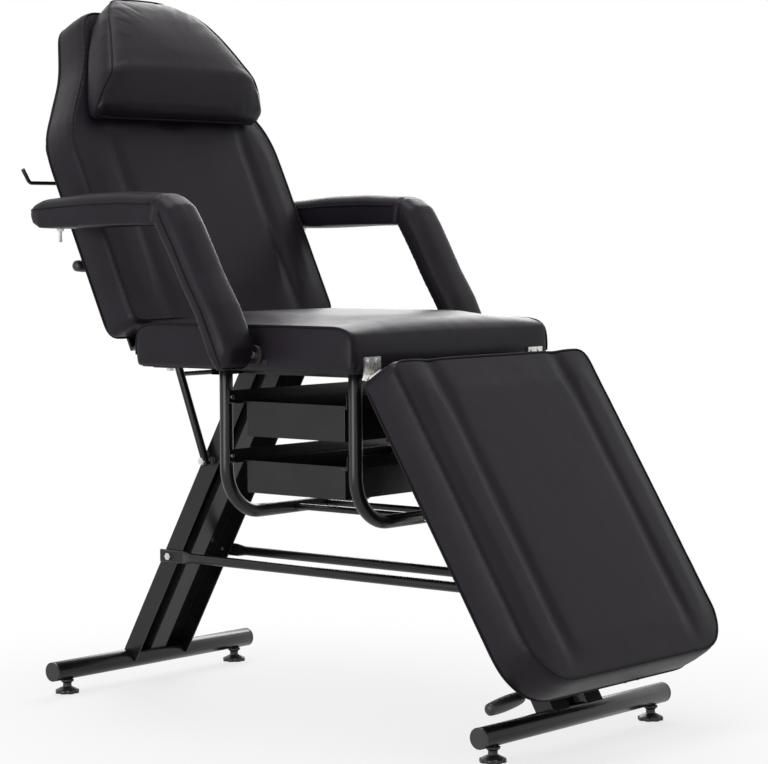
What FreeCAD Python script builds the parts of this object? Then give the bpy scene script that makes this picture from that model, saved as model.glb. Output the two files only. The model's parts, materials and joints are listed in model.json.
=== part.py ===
import FreeCAD, Part
import math
import os
import re

# A reclining treatment chair: a steel frame of two leaning legs on foot bars, a fixed seat,
# a backrest and a leg rest that swing on hinges and are held by notched rails and struts,
# two swinging armrests, two sliding trays, a loose pillow and a swinging paper rod.
# Millimetres and degrees. +X points to the foot end, +Y to the sitter's left, +Z up.
# The origin is on the floor, midway along and across the chair.

Vector = FreeCAD.Vector
Placement = FreeCAD.Placement
Rotation = FreeCAD.Rotation

X_AXIS = Vector(1, 0, 0)
Y_AXIS = Vector(0, 1, 0)
Z_AXIS = Vector(0, 0, 1)
SIDES = (-1, 1)

# Driving sizes
SIZES = {
    # Foot bars and levelling feet
    "rear_bar_x": -547.15,
    "foot_bar_dia": 38,
    "foot_bar_wall": 2,
    "foot_bar_inset": 20,
    "foot_height": 27,
    "foot_margin": 40,
    "cap_thickness": 3,
    "cap_depth": 12,
    "foot_dia": 47,
    "foot_rim_height": 6,
    "foot_waist_dia": 17,
    "foot_collar_dia": 26,
    "foot_collar_height": 6,
    "foot_stud_dia": 10,
    "foot_stud_rise": 16,
    "foot_scallop_radius": 6,
    "foot_scallop_count": 8,
    # Legs
    "leg_top_reach": 336.53,
    "leg_width": 150,
    "leg_depth": 38,
    "leg_sheet": 3,
    "leg_rear_offset": 16,
    "leg_tip_rise": 7,
    "leg_top_height": 636,
    "rib_base": 60,
    "rib_top": 42,
    "rib_height": 18,
    # Tie rods
    "tie_rod_dia": 19,
    "tie_flat_thickness": 6,
    "tie_flat_height": 26,
    "tie_flat_length": 62,
    "tie_taper_length": 26,
    "tie_end_margin": 12,
    # Subframe and tray frames
    "rail_height": 20,
    "rail_width": 25,
    "rail_y": 78,
    "cross_bar_length": 300,
    "cross_bar_inset": 8.53,
    "tube_wall": 1.5,
    "tray_frame_dia": 25,
    "rear_frame_x": 428,
    "front_frame_reach": 316,
    "tray_frame_inset": 63,
    "tray_frame_drop": 274,
    "tray_frame_bend": 88,
    "brace_dia": 12,
    "brace_y": 45,
    # Trays and their rails
    "tray_end_gap": 25.5,
    "tray_side_gap": 15,
    "tray_sheet": 1.5,
    "upper_tray_drop": 62,
    "upper_tray_depth": 65,
    "lower_tray_drop": 172,
    "lower_tray_depth": 60,
    "tray_lip": 11,
    "tray_rail_overhang": 8,
    "tray_rail_sheet": 2,
    "tray_rail_height": 24,
    "tray_rail_ledge": 17,
    "tray_clearance": 0.3,
    # Cushions
    "board_thickness": 12,
    "board_inset": 7,
    "cushion_draw": 6,
    "channel_radius": 9,
    "channel_depth": 3.5,
    "channel_end_margin": 22,
    # Seat
    "chair_width": 580,
    "seat_rear_x": 248.6,
    "seat_length": 544,
    "front_bar_reach": 267.4,
    "seat_side_height": 84,
    "seat_crown_height": 17,
    "seat_corner_radius": 24,
    # Backrest
    "back_lean": 25.4,
    "back_foot_gap": 71.6,
    "back_foot_rise": 47,
    "back_length": 680,
    "back_side_depth": 81,
    "back_crown_height": 8,
    "back_foot_corner_radius": 30,
    "back_shoulder_corner_radius": 60,
    "back_neck_corner_radius": 150,
    "back_head_corner_radius": 48,
    "face_hole_dia": 150,
    "face_hole_flare": 14,
    # Leg rest
    "rest_lean": 31.8,
    "rest_top_gap": 12.9,
    "rest_top_drop": 11,
    "rest_length": 636,
    "rest_side_depth": 82,
    "rest_crown_height": 7,
    "rest_low_corner_radius": 90,
    "rest_top_corner_radius": 25,
    # Backrest hinge
    "back_hinge_gap": 20.6,
    "back_hinge_rise": 49,
    "back_knuckle_dia": 18,
    "back_pin_dia": 10,
    "strap_inset": 75,
    "strap_width": 36,
    "strap_thickness": 5,
    "strap_rise": 95,
    "strap_drop": 22.5,
    "strap_stop": 26,
    "strap_bolt_low": 25,
    "strap_bolt_spacing": 50,
    "bracket_foot": 52,
    # Leg rest hinge
    "rest_hinge_gap": 4.4,
    "rest_hinge_drop": 6,
    "rest_knuckle_dia": 11,
    "rest_pin_dia": 6,
    "leaf_inset": 50,
    "leaf_width": 44,
    "leaf_thickness": 4,
    "leaf_height": 30,
    "rest_leaf_screw_depth": 15,
    "leaf_gap": 0.3,
    # Notched rails, struts and release bars
    "notch_rail_width": 40,
    "notch_rail_depth": 20,
    "notch_rail_sheet": 2,
    "notch_rail_tail": 95,
    "notch_rail_head": 30,
    "notch_rail_tail_rest": 22,
    "notch_pitch": 35,
    "notch_count": 8,
    "notch_depth": 8,
    "notch_clearance": 1,
    "notch_run": 17,
    "strut_leg_gap": 13,
    "strut_dia": 16,
    "strut_overhang": 9,
    "strut_brace_dia": 10,
    "strut_pivot_drop": 194,
    "back_strut_inset": 0.718,
    "rest_strut_inset": 2.718,
    "back_bar_height": 165,
    "rest_bar_margin": 27,
    "release_bar_dia": 10,
    "release_bar_offset": 18,
    "back_bar_inset": 4,
    "rest_bar_overhang": 26,
    "rest_bar_bend_inset": 85,
    "rest_bar_fall": 11,
    "rest_bar_free_reach": 24,
    "rest_bar_bend_radius": 30,
    "grip_length": 95,
    "grip_dia": 26,
    "grip_neck_dia": 18,
    "grip_end_margin": 4,
    # Armrests
    "arm_pivot_reach": 316.4,
    "arm_pivot_rise": 30,
    "arm_gap": 10,
    "arm_width": 90,
    "arm_depth": 61,
    "arm_strip": 12,
    "arm_pad_length": 334,
    "arm_elbow_back": 153,
    "arm_elbow_rise": 235,
    "arm_post_reach": 133,
    "arm_post_drop": 256,
    "arm_post_lean": 28,
    "arm_elbow_lean": 66,
    "arm_bolt_dia": 12,
    "arm_bolt_reach": 40,
    "spacer_dia": 35,
    "socket_length": 50,
    "socket_depth": 60,
    "socket_height": 30,
    # Zip pulls
    "zip_slider_length": 12,
    "zip_slider_width": 8,
    "zip_slider_height": 5,
    "zip_pull_length": 24,
    "zip_pull_width": 6,
    "zip_pull_thickness": 1.6,
    "zip_pin_dia": 1.6,
    # Pillow
    "pillow_depth": 80,
    "pillow_strip": 8,
    "soft_clearance": 0.4,
    # Paper rod
    "rod_dia": 8,
    "rod_pivot_offset": 9,
    "rod_clamp_inset": 58,
    "rod_clamp_length": 50,
    "rod_clamp_height": 30,
    "rod_clamp_sheet": 2.5,
    "rod_housing_dia": 14,
    "rod_housing_length": 40,
    "rod_drop": 78,
    "rod_leg_inset": 22,
    "rod_overhang": 19,
    "rod_tip_rise": 26,
    "rod_tip_reach": 17,
    "rod_bend": 12,
    # Fasteners
    "bolt_dia": 8,
    "bolt_head_dia": 15,
    "bolt_head_height": 5.5,
    "bolt_length": 9,
    "pivot_washer_dia": 18,
    "screw_dia": 4,
    "screw_head_dia": 8.5,
    "screw_head_height": 2.5,
    "screw_length": 8,
    "rail_screw_margin": 50,
    "bore_clearance": 0.05,
    "side_clearance": 0.3,
    "cut_overrun": 5,
}

# Shares of a cushion's side height and of its drawn-in depth, from the board to the top seam
SIDE_SHARES = ((0, 0.7), (0.16, 0.15), (0.5, 0), (0.86, 0.2), (1, 1))
# Shares of the crown's rise and of a quarter of the cushion's narrow width, above the seam
CROWN_SHARES = ((0.42, 0.12), (0.8, 0.34), (1, 0.72))
# Armrest pad: share along from the elbow, lift and depth as shares of the depth, width share
PAD_SHARES = (
    (0.10, 0.0, 0.99, 1.0),
    (0.28, 0.0, 1.05, 1.0),
    (0.60, -0.05, 1.06, 1.0),
    (0.92, -0.08, 0.92, 0.96),
    (0.98, 0.05, 0.68, 0.88),
    (1.025, 0.36, 0.20, 0.66),
)
# Armrest post: shares of its reach and of its drop, depth share and width share
POST_SHARES = (
    (0.16, 0.13, 0.77, 1.0),
    (0.45, 0.38, 0.75, 1.0),
    (0.76, 0.65, 0.75, 1.0),
    (0.94, 0.87, 0.77, 0.99),
    (1.02, 0.97, 0.70, 0.93),
    (1.08, 1.03, 0.44, 0.78),
)
ELBOW_DEPTH_SHARE = 0.86
# Pillow: share along from its lower edge, depth share and width share
PILLOW_SHARES = (
    (0, 0.12, 0.97),
    (0.09, 0.80, 1.0),
    (0.28, 1.0, 0.90),
    (0.60, 0.86, 0.73),
    (0.85, 0.60, 0.59),
    (0.96, 0.36, 0.48),
    (1, 0.14, 0.34),
)
# The shoulder of a padded section: shares of its half width and of its depth
ARM_SHOULDER_SHARES = ((0.93, 0.56), (0.62, 0.86))
PILLOW_SHOULDER_SHARES = ((0.975, 0.55), (0.84, 0.86))
STRIP_LIMIT_SHARE = 0.3
# How far along a strut its cross brace lies
BACK_BRACE_SHARE = 0.44
REST_BRACE_SHARE = 0.4
# A levelling foot's outline, as shares of its height
FOOT_WAIST_LOW_SHARE = 0.5
FOOT_WAIST_HIGH_SHARE = 0.74
# The least radius left of a corner whose outline moves inward
SMALL_RADIUS_SHARE = 0.15
# Fastener places, as shares of the plate, leaf or screw head that they belong to
BRACKET_BOLT_SHARE = 0.6
SEAT_SCREW_SHARE = 0.78
CLAMP_SCREW_ACROSS_SHARE = 0.7
CLAMP_SCREW_UP_SHARE = 0.55
# Heights of the tie rods, the backrest's outline, face hole, pillow and paper rod
TIE_HEIGHT_SHARE = 0.41667
SHOULDER_HEIGHT_SHARE = 0.60294
NECK_HEIGHT_SHARE = 0.82647
FACE_HOLE_HEIGHT_SHARE = 0.77941
PILLOW_FOOT_SHARE = 0.625
PILLOW_LENGTH_SHARE = 0.40441
ROD_HEIGHT_SHARE = 0.625
# Widths of the backrest's neck and head, the pillow, and the channels' distance from the middle
NECK_WIDTH_SHARE = 0.64138
HEAD_WIDTH_SHARE = 0.48621
PILLOW_WIDTH_SHARE = 0.8
CHANNEL_SHARE = 0.32241

# Sizes that follow from the driving sizes
RULES = {
    "seat_height": "leg_top_height + rail_height",
    "seat_front_x": "seat_rear_x + seat_length",
    "half_width": "chair_width / 2",
    "bar_spacing": "seat_front_x + front_bar_reach",
    "bar_height": "foot_height + foot_bar_dia / 2",
    "foot_bar_length": "chair_width - foot_bar_inset",
    "foot_spread": "foot_bar_length - 2 * foot_margin",
    "tie_height": f"leg_top_height * {TIE_HEIGHT_SHARE}",
    "rear_cross_bar_x": "leg_top_reach - cross_bar_inset",
    "front_cross_bar_x": "bar_spacing - rear_cross_bar_x",
    "front_frame_x": "bar_spacing - front_frame_reach",
    "tray_frame_half_width": "half_width - tray_frame_inset",
    "tray_frame_bottom": "seat_height - tray_frame_drop",
    "tray_length": "front_frame_x - rear_frame_x - tray_frame_dia - 2 * tray_end_gap",
    "tray_width": "2 * (tray_frame_half_width - tray_side_gap)",
    "tray_rail_length": "2 * (tray_frame_half_width + tray_rail_overhang)",
    "upper_tray_top": "seat_height - upper_tray_drop",
    "lower_tray_top": "seat_height - lower_tray_drop",
    "channel_y": f"chair_width * {CHANNEL_SHARE}",
    "back_foot_x": "seat_rear_x - back_foot_gap",
    "back_foot_z": "seat_height + back_foot_rise",
    "back_shoulder_height": f"back_length * {SHOULDER_HEIGHT_SHARE}",
    "back_neck_height": f"back_length * {NECK_HEIGHT_SHARE}",
    "back_neck_width": f"chair_width * {NECK_WIDTH_SHARE}",
    "back_head_width": f"chair_width * {HEAD_WIDTH_SHARE}",
    "face_hole_height": f"back_length * {FACE_HOLE_HEIGHT_SHARE}",
    "rest_top_x": "seat_front_x + rest_top_gap",
    "rest_top_z": "seat_height - rest_top_drop",
    "back_hinge_x": "seat_rear_x - back_hinge_gap",
    "back_hinge_z": "seat_height + back_hinge_rise",
    "strap_y": "half_width - strap_inset",
    "rest_hinge_x": "seat_front_x + rest_hinge_gap",
    "rest_hinge_z": "seat_height - rest_hinge_drop",
    "leaf_y": "half_width - leaf_inset",
    "strut_y": "leg_width / 2 + strut_leg_gap",
    "strut_pivot_z": "seat_height - strut_pivot_drop",
    "leg_reach_at_pivot":
        "leg_top_reach * (strut_pivot_z - bar_height) / (leg_top_height - bar_height)",
    "back_strut_x": "leg_reach_at_pivot + back_strut_inset",
    "rest_strut_x": "bar_spacing - leg_reach_at_pivot - rest_strut_inset",
    "rest_bar_drop": "rest_length - rest_bar_margin",
    "back_bar_half_length": "half_width - back_bar_inset",
    "rest_bar_half_length": "half_width + rest_bar_overhang",
    "rest_bar_bend_y": "half_width - rest_bar_bend_inset",
    "rest_bar_free_end": "strut_y + rest_bar_free_reach",
    "arm_pivot_x": "seat_rear_x + arm_pivot_reach",
    "arm_pivot_z": "seat_height + arm_pivot_rise",
    "arm_inner_y": "half_width + arm_gap",
    "pillow_foot_height": f"back_length * {PILLOW_FOOT_SHARE}",
    "pillow_length": f"back_length * {PILLOW_LENGTH_SHARE}",
    "pillow_width": f"chair_width * {PILLOW_WIDTH_SHARE}",
    "rod_height": f"back_length * {ROD_HEIGHT_SHARE}",
    "rod_clamp_y": "half_width - rod_clamp_inset",
    "rod_leg_y": "half_width - rod_leg_inset",
    "rod_far_y": "half_width + rod_overhang",
}

doc = FreeCAD.newDocument("Chair")
sheet = doc.addObject("Spreadsheet::Sheet", "Sizes")
cells = {alias: str(amount) for alias, amount in SIZES.items()}
cells.update({alias: "=" + rule for alias, rule in RULES.items()})
for row, (alias, content) in enumerate(cells.items(), start=1):
    sheet.set(f"A{row}", alias)
    sheet.set(f"B{row}", content)
    sheet.setAlias(f"B{row}", alias)
doc.recompute()

WORDS = re.compile(r"\b(" + "|".join(sorted(cells, key=len, reverse=True)) + r")\b")
NODES = {}


def size(alias):
    """A size, read from the sheet."""
    return float(sheet.get(alias))


# Places worked out from the sizes
BAR_Z = size("bar_height")
SEAT_Z = size("seat_height")
LEAN = math.atan2(size("leg_top_reach"), size("leg_top_height") - BAR_Z)
CHAIR = Placement(Vector(size("rear_bar_x"), 0, 0), Rotation())
BACK_LOCAL = Placement(
    Vector(size("back_foot_x"), 0, size("back_foot_z")), Rotation(Y_AXIS, -size("back_lean"))
)
REST_LOCAL = Placement(
    Vector(size("rest_top_x"), 0, size("rest_top_z")), Rotation(Y_AXIS, -size("rest_lean"))
)
BACK = CHAIR.multiply(BACK_LOCAL)
REST = CHAIR.multiply(REST_LOCAL)


def bind(item, **formulas):
    """Ties an object's properties to formulas of the sheet's names."""
    for name, formula in formulas.items():
        item.setExpression(name, WORDS.sub(lambda word: "Sizes." + word.group(), formula))


def node(item, label, frame=CHAIR):
    """Names a finished sub-part and places it."""
    item.Label = label
    item.Placement = frame
    NODES[label] = item
    return item


# Primitives and booleans
def cylinder(radius, length, start, along=Z_AXIS):
    """A round bar from a start point along a direction."""
    item = doc.addObject("Part::Cylinder", "Cylinder")
    bind(item, Radius=radius, Height=length)
    item.Placement = Placement(start, Rotation(Z_AXIS, along))
    return item


def cone(low_radius, high_radius, length, start, along=Z_AXIS):
    """A tapered round bar."""
    item = doc.addObject("Part::Cone", "Cone")
    bind(item, Radius1=low_radius, Radius2=high_radius, Height=length)
    item.Placement = Placement(start, Rotation(Z_AXIS, along))
    return item


def box(length, width, height, corner):
    """A block from its lowest corner."""
    item = doc.addObject("Part::Box", "Box")
    bind(item, Length=length, Width=width, Height=height)
    item.Placement = Placement(corner, Rotation())
    return item


def hexagon(radius, length, start, along):
    """A hexagonal bar, such as a bolt head."""
    item = doc.addObject("Part::Prism", "Hexagon")
    item.Polygon = 6
    bind(item, Circumradius=radius, Height=length)
    item.Placement = Placement(start, Rotation(Z_AXIS, along))
    return item


def fuse(*shapes):
    """One solid from several."""
    item = doc.addObject("Part::MultiFuse", "Joined")
    item.Shapes = list(shapes)
    item.Refine = True
    return item


def group(*shapes):
    """Separate solids kept together."""
    item = doc.addObject("Part::Compound", "Group")
    item.Links = list(shapes)
    return item


def cut(base, *tools):
    """A solid less one or more tools."""
    item = doc.addObject("Part::Cut", "Trimmed")
    item.Base = base
    item.Tool = tools[0] if len(tools) == 1 else group(*tools)
    return item


def common(first, second):
    """What two solids share."""
    item = doc.addObject("Part::MultiCommon", "Shared")
    item.Shapes = [first, second]
    return item


def solid_feature(shape):
    """A lofted solid held as a plain feature."""
    item = doc.addObject("Part::Feature", "Form")
    item.Shape = shape
    return item


# Sketched bodies
def new_body():
    return doc.addObject("PartDesign::Body", "Body")


def origin_item(body, role):
    """A plane or an axis of a body's origin."""
    for item in body.Origin.OriginFeatures:
        if item.Role == role:
            return item
    raise ValueError(role)


def sketch(body, plane, edges, offset=0):
    """A sketch on one of the body's own origin planes."""
    item = body.newObject("Sketcher::SketchObject", "Sketch")
    item.AttachmentSupport = [(origin_item(body, plane), "")]
    item.MapMode = "FlatFace"
    item.AttachmentOffset = Placement(Vector(0, 0, offset), Rotation())
    for edge in edges:
        item.addGeometry(edge, False)
    return item


def pad(body, profile, length, symmetric=False):
    item = body.newObject("PartDesign::Pad", "Pad")
    item.Profile = profile
    if symmetric:
        item.SideType = "Symmetric"
    bind(item, Length=length)
    return item


def circle(centre_x, centre_y, radius):
    return Part.Circle(Vector(centre_x, centre_y, 0), Z_AXIS, radius)


def polygon(points):
    """Straight edges round a list of (x, y) points."""
    corners = [Vector(x, y, 0) for x, y in points]
    return [
        Part.LineSegment(start, end)
        for start, end in zip(corners, corners[1:] + corners[:1])
    ]


def turned(previous, corner, following, radius):
    """Start, middle and end of the arc that rounds a corner."""
    arriving = (corner - previous).normalize()
    leaving = (following - corner).normalize()
    half_turn = arriving.getAngle(leaving) / 2
    reach = radius * math.tan(half_turn)
    inward = (leaving - arriving).normalize()
    middle = corner + inward * (radius / math.cos(half_turn) - radius)
    return corner - arriving * reach, middle, corner + leaving * reach


def rounded_loop(corners, inset=0):
    """Lines and tangent arcs round (x, y, radius) corners, moved inward by an inset."""
    points = [Vector(x, y, 0) for x, y, radius in corners]
    count = len(points)
    runs = [(points[(i + 1) % count] - points[i]).normalize() for i in range(count)]
    moved = []
    radii = []
    for i, (x, y, radius) in enumerate(corners):
        arriving = runs[i - 1]
        leaving = runs[i]
        bulge = arriving.x * leaving.y - arriving.y * leaving.x
        inward = (Vector(-arriving.y, arriving.x, 0) + Vector(-leaving.y, leaving.x, 0)).normalize()
        spread = math.cos(arriving.getAngle(leaving) / 2)
        moved.append(points[i] + inward * (inset / spread))
        radii.append(max(radius - math.copysign(inset, bulge), radius * SMALL_RADIUS_SHARE))
    arcs = [
        turned(moved[i - 1], moved[i], moved[(i + 1) % count], radii[i]) for i in range(count)
    ]
    edges = []
    for i, (start, middle, end) in enumerate(arcs):
        edges.append(Part.Arc(start, middle, end))
        edges.append(Part.LineSegment(end, arcs[(i + 1) % count][0]))
    return edges


def rounded_path(points, radius):
    """Straight runs joined by tangent arcs through (x, y) points."""
    stops = [Vector(x, y, 0) for x, y in points]
    edges = []
    last = stops[0]
    for i in range(1, len(stops) - 1):
        start, middle, end = turned(stops[i - 1], stops[i], stops[i + 1], radius)
        edges.append(Part.LineSegment(last, start))
        edges.append(Part.Arc(start, middle, end))
        last = end
    edges.append(Part.LineSegment(last, stops[-1]))
    return edges


def bent_tube(plane, offset, profile, points, bend, radii):
    """A tube swept along a flat path in the body's YZ plane."""
    body = new_body()
    path = sketch(body, "YZ_Plane", rounded_path(points, bend))
    rings = [circle(profile[0], profile[1], radius) for radius in radii]
    section = sketch(body, plane, rings, offset)
    sweep = body.newObject("PartDesign::AdditivePipe", "Sweep")
    sweep.Profile = section
    sweep.Spine = (path, [])
    return body


# Cushions
def level_wire(edges, frame):
    wire = Part.Wire([edge.toShape() for edge in edges])
    wire.Placement = frame
    return wire


def cushion(corners, side, crown, lay):
    """A loft from the board side, over drawn-in sides and the top seam, to the crown."""
    narrow = min(max(c[0] for c in corners) - min(c[0] for c in corners),
                 max(c[1] for c in corners) - min(c[1] for c in corners))
    draw = size("cushion_draw")
    levels = [(side * rise, draw * inset) for rise, inset in SIDE_SHARES]
    reach = narrow / 4 - draw
    levels += [(side + crown * rise, draw + reach * inset) for rise, inset in CROWN_SHARES]
    wires = [level_wire(rounded_loop(corners, inset), lay(level)) for level, inset in levels]
    return solid_feature(Part.makeLoft(wires, True, True))


def flat_lay(level):
    """A horizontal outline at a height."""
    return Placement(Vector(0, 0, level), Rotation())


def upright_lay(level):
    """An outline across and up, at a depth from the back face."""
    return Placement(Vector(level, 0, 0), Rotation(Y_AXIS, Z_AXIS, X_AXIS, "ZXY"))


def board(corners, inset, plane, holes=()):
    body = new_body()
    outline = sketch(body, plane, rounded_loop(corners, inset) + list(holes))
    pad(body, outline, "board_thickness")
    return body


def seat_corners():
    rear = size("seat_rear_x")
    front = rear + size("seat_length")
    half = size("chair_width") / 2
    radius = size("seat_corner_radius")
    return [(rear, -half, radius), (front, -half, radius), (front, half, radius), (rear, half, radius)]


def back_corners():
    half = size("chair_width") / 2
    right = [
        (half, 0, size("back_foot_corner_radius")),
        (half, size("back_shoulder_height"), size("back_shoulder_corner_radius")),
        (size("back_neck_width") / 2, size("back_neck_height"), size("back_neck_corner_radius")),
        (size("back_head_width") / 2, size("back_length"), size("back_head_corner_radius")),
    ]
    return right + [(-y, z, radius) for y, z, radius in reversed(right)]


def rest_corners():
    half = size("chair_width") / 2
    foot = -size("rest_length")
    low = size("rest_low_corner_radius")
    top = size("rest_top_corner_radius")
    return [(-half, foot, low), (half, foot, low), (half, 0, top), (-half, 0, top)]


def padded_wire(base, outward, half_width, depth, strip, shoulder):
    """A section with a flat back, straight side strips and a crowned front."""
    strip = min(strip, depth * STRIP_LIMIT_SHARE)
    (mid_w, mid_d), (top_w, top_d) = shoulder

    def at(across, out):
        return base + Y_AXIS * (across * half_width) + outward * out

    left = at(-1, 0)
    right = at(1, 0)
    right_strip = at(1, strip)
    left_strip = at(-1, strip)
    right_top = at(top_w, depth * top_d)
    left_top = at(-top_w, depth * top_d)
    edges = [
        Part.LineSegment(left, right),
        Part.LineSegment(right, right_strip),
        Part.Arc(right_strip, at(mid_w, depth * mid_d), right_top),
        Part.Arc(right_top, at(0, depth), left_top),
        Part.Arc(left_top, at(-mid_w, depth * mid_d), left_strip),
        Part.LineSegment(left_strip, left),
    ]
    return Part.Wire([edge.toShape() for edge in edges])


# Fasteners
def bolt(kind, at, along):
    """A hex bolt or a round-headed screw whose shank points along the given way."""
    head = at - along * size(kind + "_head_height")
    if kind == "bolt":
        top = hexagon("bolt_head_dia / 2", "bolt_head_height", head, along)
    else:
        top = cylinder("screw_head_dia / 2", "screw_head_height", head, along)
    return fuse(top, cylinder(f"{kind}_dia / 2", f"{kind}_length", at, along))


def bolts(kind, places):
    return group(*[bolt(kind, at, along) for at, along in places])


def drilled(base, kind, places):
    """A base with a hole for each fastener's shank."""
    tools = [
        cylinder(f"{kind}_dia / 2 + bore_clearance", f"{kind}_length + cut_overrun",
                 at - along * size("cut_overrun"), along)
        for at, along in places
    ]
    return cut(base, *tools)


def tie_bolt_places():
    """The bolts through the flattened ends of the tie rods into the legs."""
    face = size("leg_width") / 2 + size("tie_flat_thickness")
    rear = tie_end_x()
    return [
        (Vector(x, side * face, size("tie_height")), Vector(0, -side, 0))
        for x in (rear, size("bar_spacing") - rear)
        for side in SIDES
    ]


def tie_end_x():
    """Where the tie rods are bolted: the middle of the leg's flange."""
    rise = size("tie_height") - BAR_Z
    middle = size("leg_depth") / 2 - size("leg_rear_offset")
    return rise * math.tan(LEAN) + middle / math.cos(LEAN)


def cross_bolt_places():
    """The bolts that hold the cross bars up to the seat board."""
    reach = size("cross_bar_length") / 2 - size("rail_width") + size("cut_overrun")
    low = size("leg_top_height")
    return [
        (Vector(x, side * reach, low), Z_AXIS)
        for x in (size("rear_cross_bar_x"), size("front_cross_bar_x"))
        for side in SIDES
    ]


def brace_bolt_places():
    """The bolts through the tray frames into the braces."""
    outer = size("tray_frame_dia") / 2
    places = []
    for x, way in ((size("rear_frame_x"), 1), (size("front_frame_x"), -1)):
        for side in SIDES:
            at = Vector(x - way * outer, side * size("brace_y"), size("tray_frame_bottom"))
            places.append((at, Vector(way, 0, 0)))
    return places


def bracket_bolt_places():
    """The bolts that hold the backrest's hinge brackets under the seat."""
    x = size("seat_rear_x") + size("bracket_foot") * BRACKET_BOLT_SHARE
    low = SEAT_Z - size("strap_thickness")
    return [(Vector(x, side * bracket_y(), low), Z_AXIS) for side in SIDES]


def bracket_y():
    """The middle of a bracket, which takes the outer half of the strap's width."""
    return size("strap_y") + (size("strap_width") + size("side_clearance")) / 4


# Foot bars, caps and levelling feet
def foot_places():
    return [
        (x, side * size("foot_spread") / 2) for x in (0, size("bar_spacing")) for side in SIDES
    ]


def build_foot_bar(label, x):
    start = Vector(x, size("cap_thickness") - size("foot_bar_length") / 2, BAR_Z)
    length = "foot_bar_length - 2 * cap_thickness"
    outer = cylinder("foot_bar_dia / 2", length, start, Y_AXIS)
    inner = cylinder("foot_bar_dia / 2 - foot_bar_wall", length, start, Y_AXIS)
    holes = [
        cylinder("foot_stud_dia / 2 + bore_clearance", "foot_stud_rise",
                 Vector(x, side * size("foot_spread") / 2, BAR_Z - size("foot_bar_dia") / 2 -
                        size("side_clearance")))
        for side in SIDES
    ]
    node(cut(outer, inner, *holes), label)


def build_end_caps():
    caps = []
    for x in (0, size("bar_spacing")):
        for side in SIDES:
            along = Vector(0, -side, 0)
            outside = Vector(x, side * size("foot_bar_length") / 2, BAR_Z)
            disc = cylinder("foot_bar_dia / 2", "cap_thickness", outside, along)
            plug = cylinder("foot_bar_dia / 2 - foot_bar_wall - bore_clearance",
                            "cap_thickness + cap_depth", outside, along)
            caps.append(fuse(disc, plug))
    node(group(*caps), "foot_bar_end_caps")


def build_levelling_foot(label, x, y):
    """A scalloped disc, a waist, a collar under the bar and a stud up into it."""
    top = size("foot_height") - size("side_clearance")
    rim = size("foot_dia") / 2
    waist = size("foot_waist_dia") / 2
    collar = size("foot_collar_dia") / 2
    stud = size("foot_stud_dia") / 2
    outline = [
        (0, 0),
        (rim, 0),
        (rim, size("foot_rim_height")),
        (waist, top * FOOT_WAIST_LOW_SHARE),
        (waist, top * FOOT_WAIST_HIGH_SHARE),
        (collar, top - size("foot_collar_height") / 2),
        (collar, top),
        (stud, top),
        (stud, top + size("foot_stud_rise")),
        (0, top + size("foot_stud_rise")),
    ]
    body = new_body()
    profile = sketch(body, "XZ_Plane", polygon(outline))
    turn = body.newObject("PartDesign::Revolution", "Turned")
    turn.Profile = profile
    turn.ReferenceAxis = (profile, ["V_Axis"])
    turn.Angle = 360
    bite = sketch(body, "XY_Plane", [circle(rim + size("foot_scallop_radius") / 2, 0,
                                            size("foot_scallop_radius"))])
    scallop = body.newObject("PartDesign::Pocket", "Scallop")
    scallop.Profile = bite
    scallop.Reversed = True
    bind(scallop, Length="foot_height")
    ring = body.newObject("PartDesign::PolarPattern", "Scallops")
    ring.Originals = [scallop]
    ring.Axis = (origin_item(body, "Z_Axis"), [""])
    ring.Angle = 360
    bind(ring, Occurrences="foot_scallop_count")
    body.Tip = ring
    node(body, label, CHAIR.multiply(Placement(Vector(x, y, 0), Rotation())))


# Legs and tie rods
def leg_section():
    """The channel's outline across: flanges, web and a rib pressed into the opening."""
    rear = -size("leg_rear_offset")
    front = rear + size("leg_depth")
    wall = size("leg_sheet")
    half = size("leg_width") / 2
    rise = size("rib_height")
    base = size("rib_base") / 2
    crest = size("rib_top") / 2
    outer = [
        (rear, base - wall),
        (rear + rise, crest - wall),
        (rear + rise, wall - crest),
        (rear, wall - base),
        (rear, -half),
        (front, -half),
        (front, wall - half),
        (rear + wall, wall - half),
        (rear + wall, -base),
        (rear + rise + wall, -crest),
    ]
    inner = [(x, -y) for x, y in reversed(outer[4:])]
    return outer + inner


def leg_side():
    """The leg's outline from the side, cut level under the seat rails."""
    rear = -size("leg_rear_offset")
    front = rear + size("leg_depth")
    low = size("leg_tip_rise")

    def top(x):
        return (size("leg_top_height") - BAR_Z + x * math.sin(LEAN)) / math.cos(LEAN)

    return [(rear, low), (front, low), (front, top(front)), (rear, top(rear))]


def build_leg(label, x, turn):
    channel = new_body()
    pad(channel, sketch(channel, "XY_Plane", polygon(leg_section())), "leg_top_height * 2")
    side = new_body()
    pad(side, sketch(side, "XZ_Plane", polygon(leg_side())), "leg_width", True)
    bar = cylinder("foot_bar_dia / 2", "leg_width + 2 * cut_overrun",
                   Vector(0, -size("leg_width") / 2 - size("cut_overrun"), 0), Y_AXIS)
    rough = cut(common(channel, side), bar)
    stand = Placement(Vector(x, 0, BAR_Z), Rotation(Z_AXIS, turn).multiply(
        Rotation(Y_AXIS, math.degrees(LEAN))))
    rough.Placement = stand
    leg = drilled(rough, "bolt", tie_bolt_places())
    pivot_x = "rest_strut_x" if turn else "back_strut_x"
    pivot = cylinder("bolt_dia / 2 + bore_clearance", "leg_width + 2 * cut_overrun",
                     Vector(size(pivot_x), -size("leg_width") / 2 - size("cut_overrun"),
                            size("strut_pivot_z")), Y_AXIS)
    node(cut(leg, pivot), label)


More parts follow.
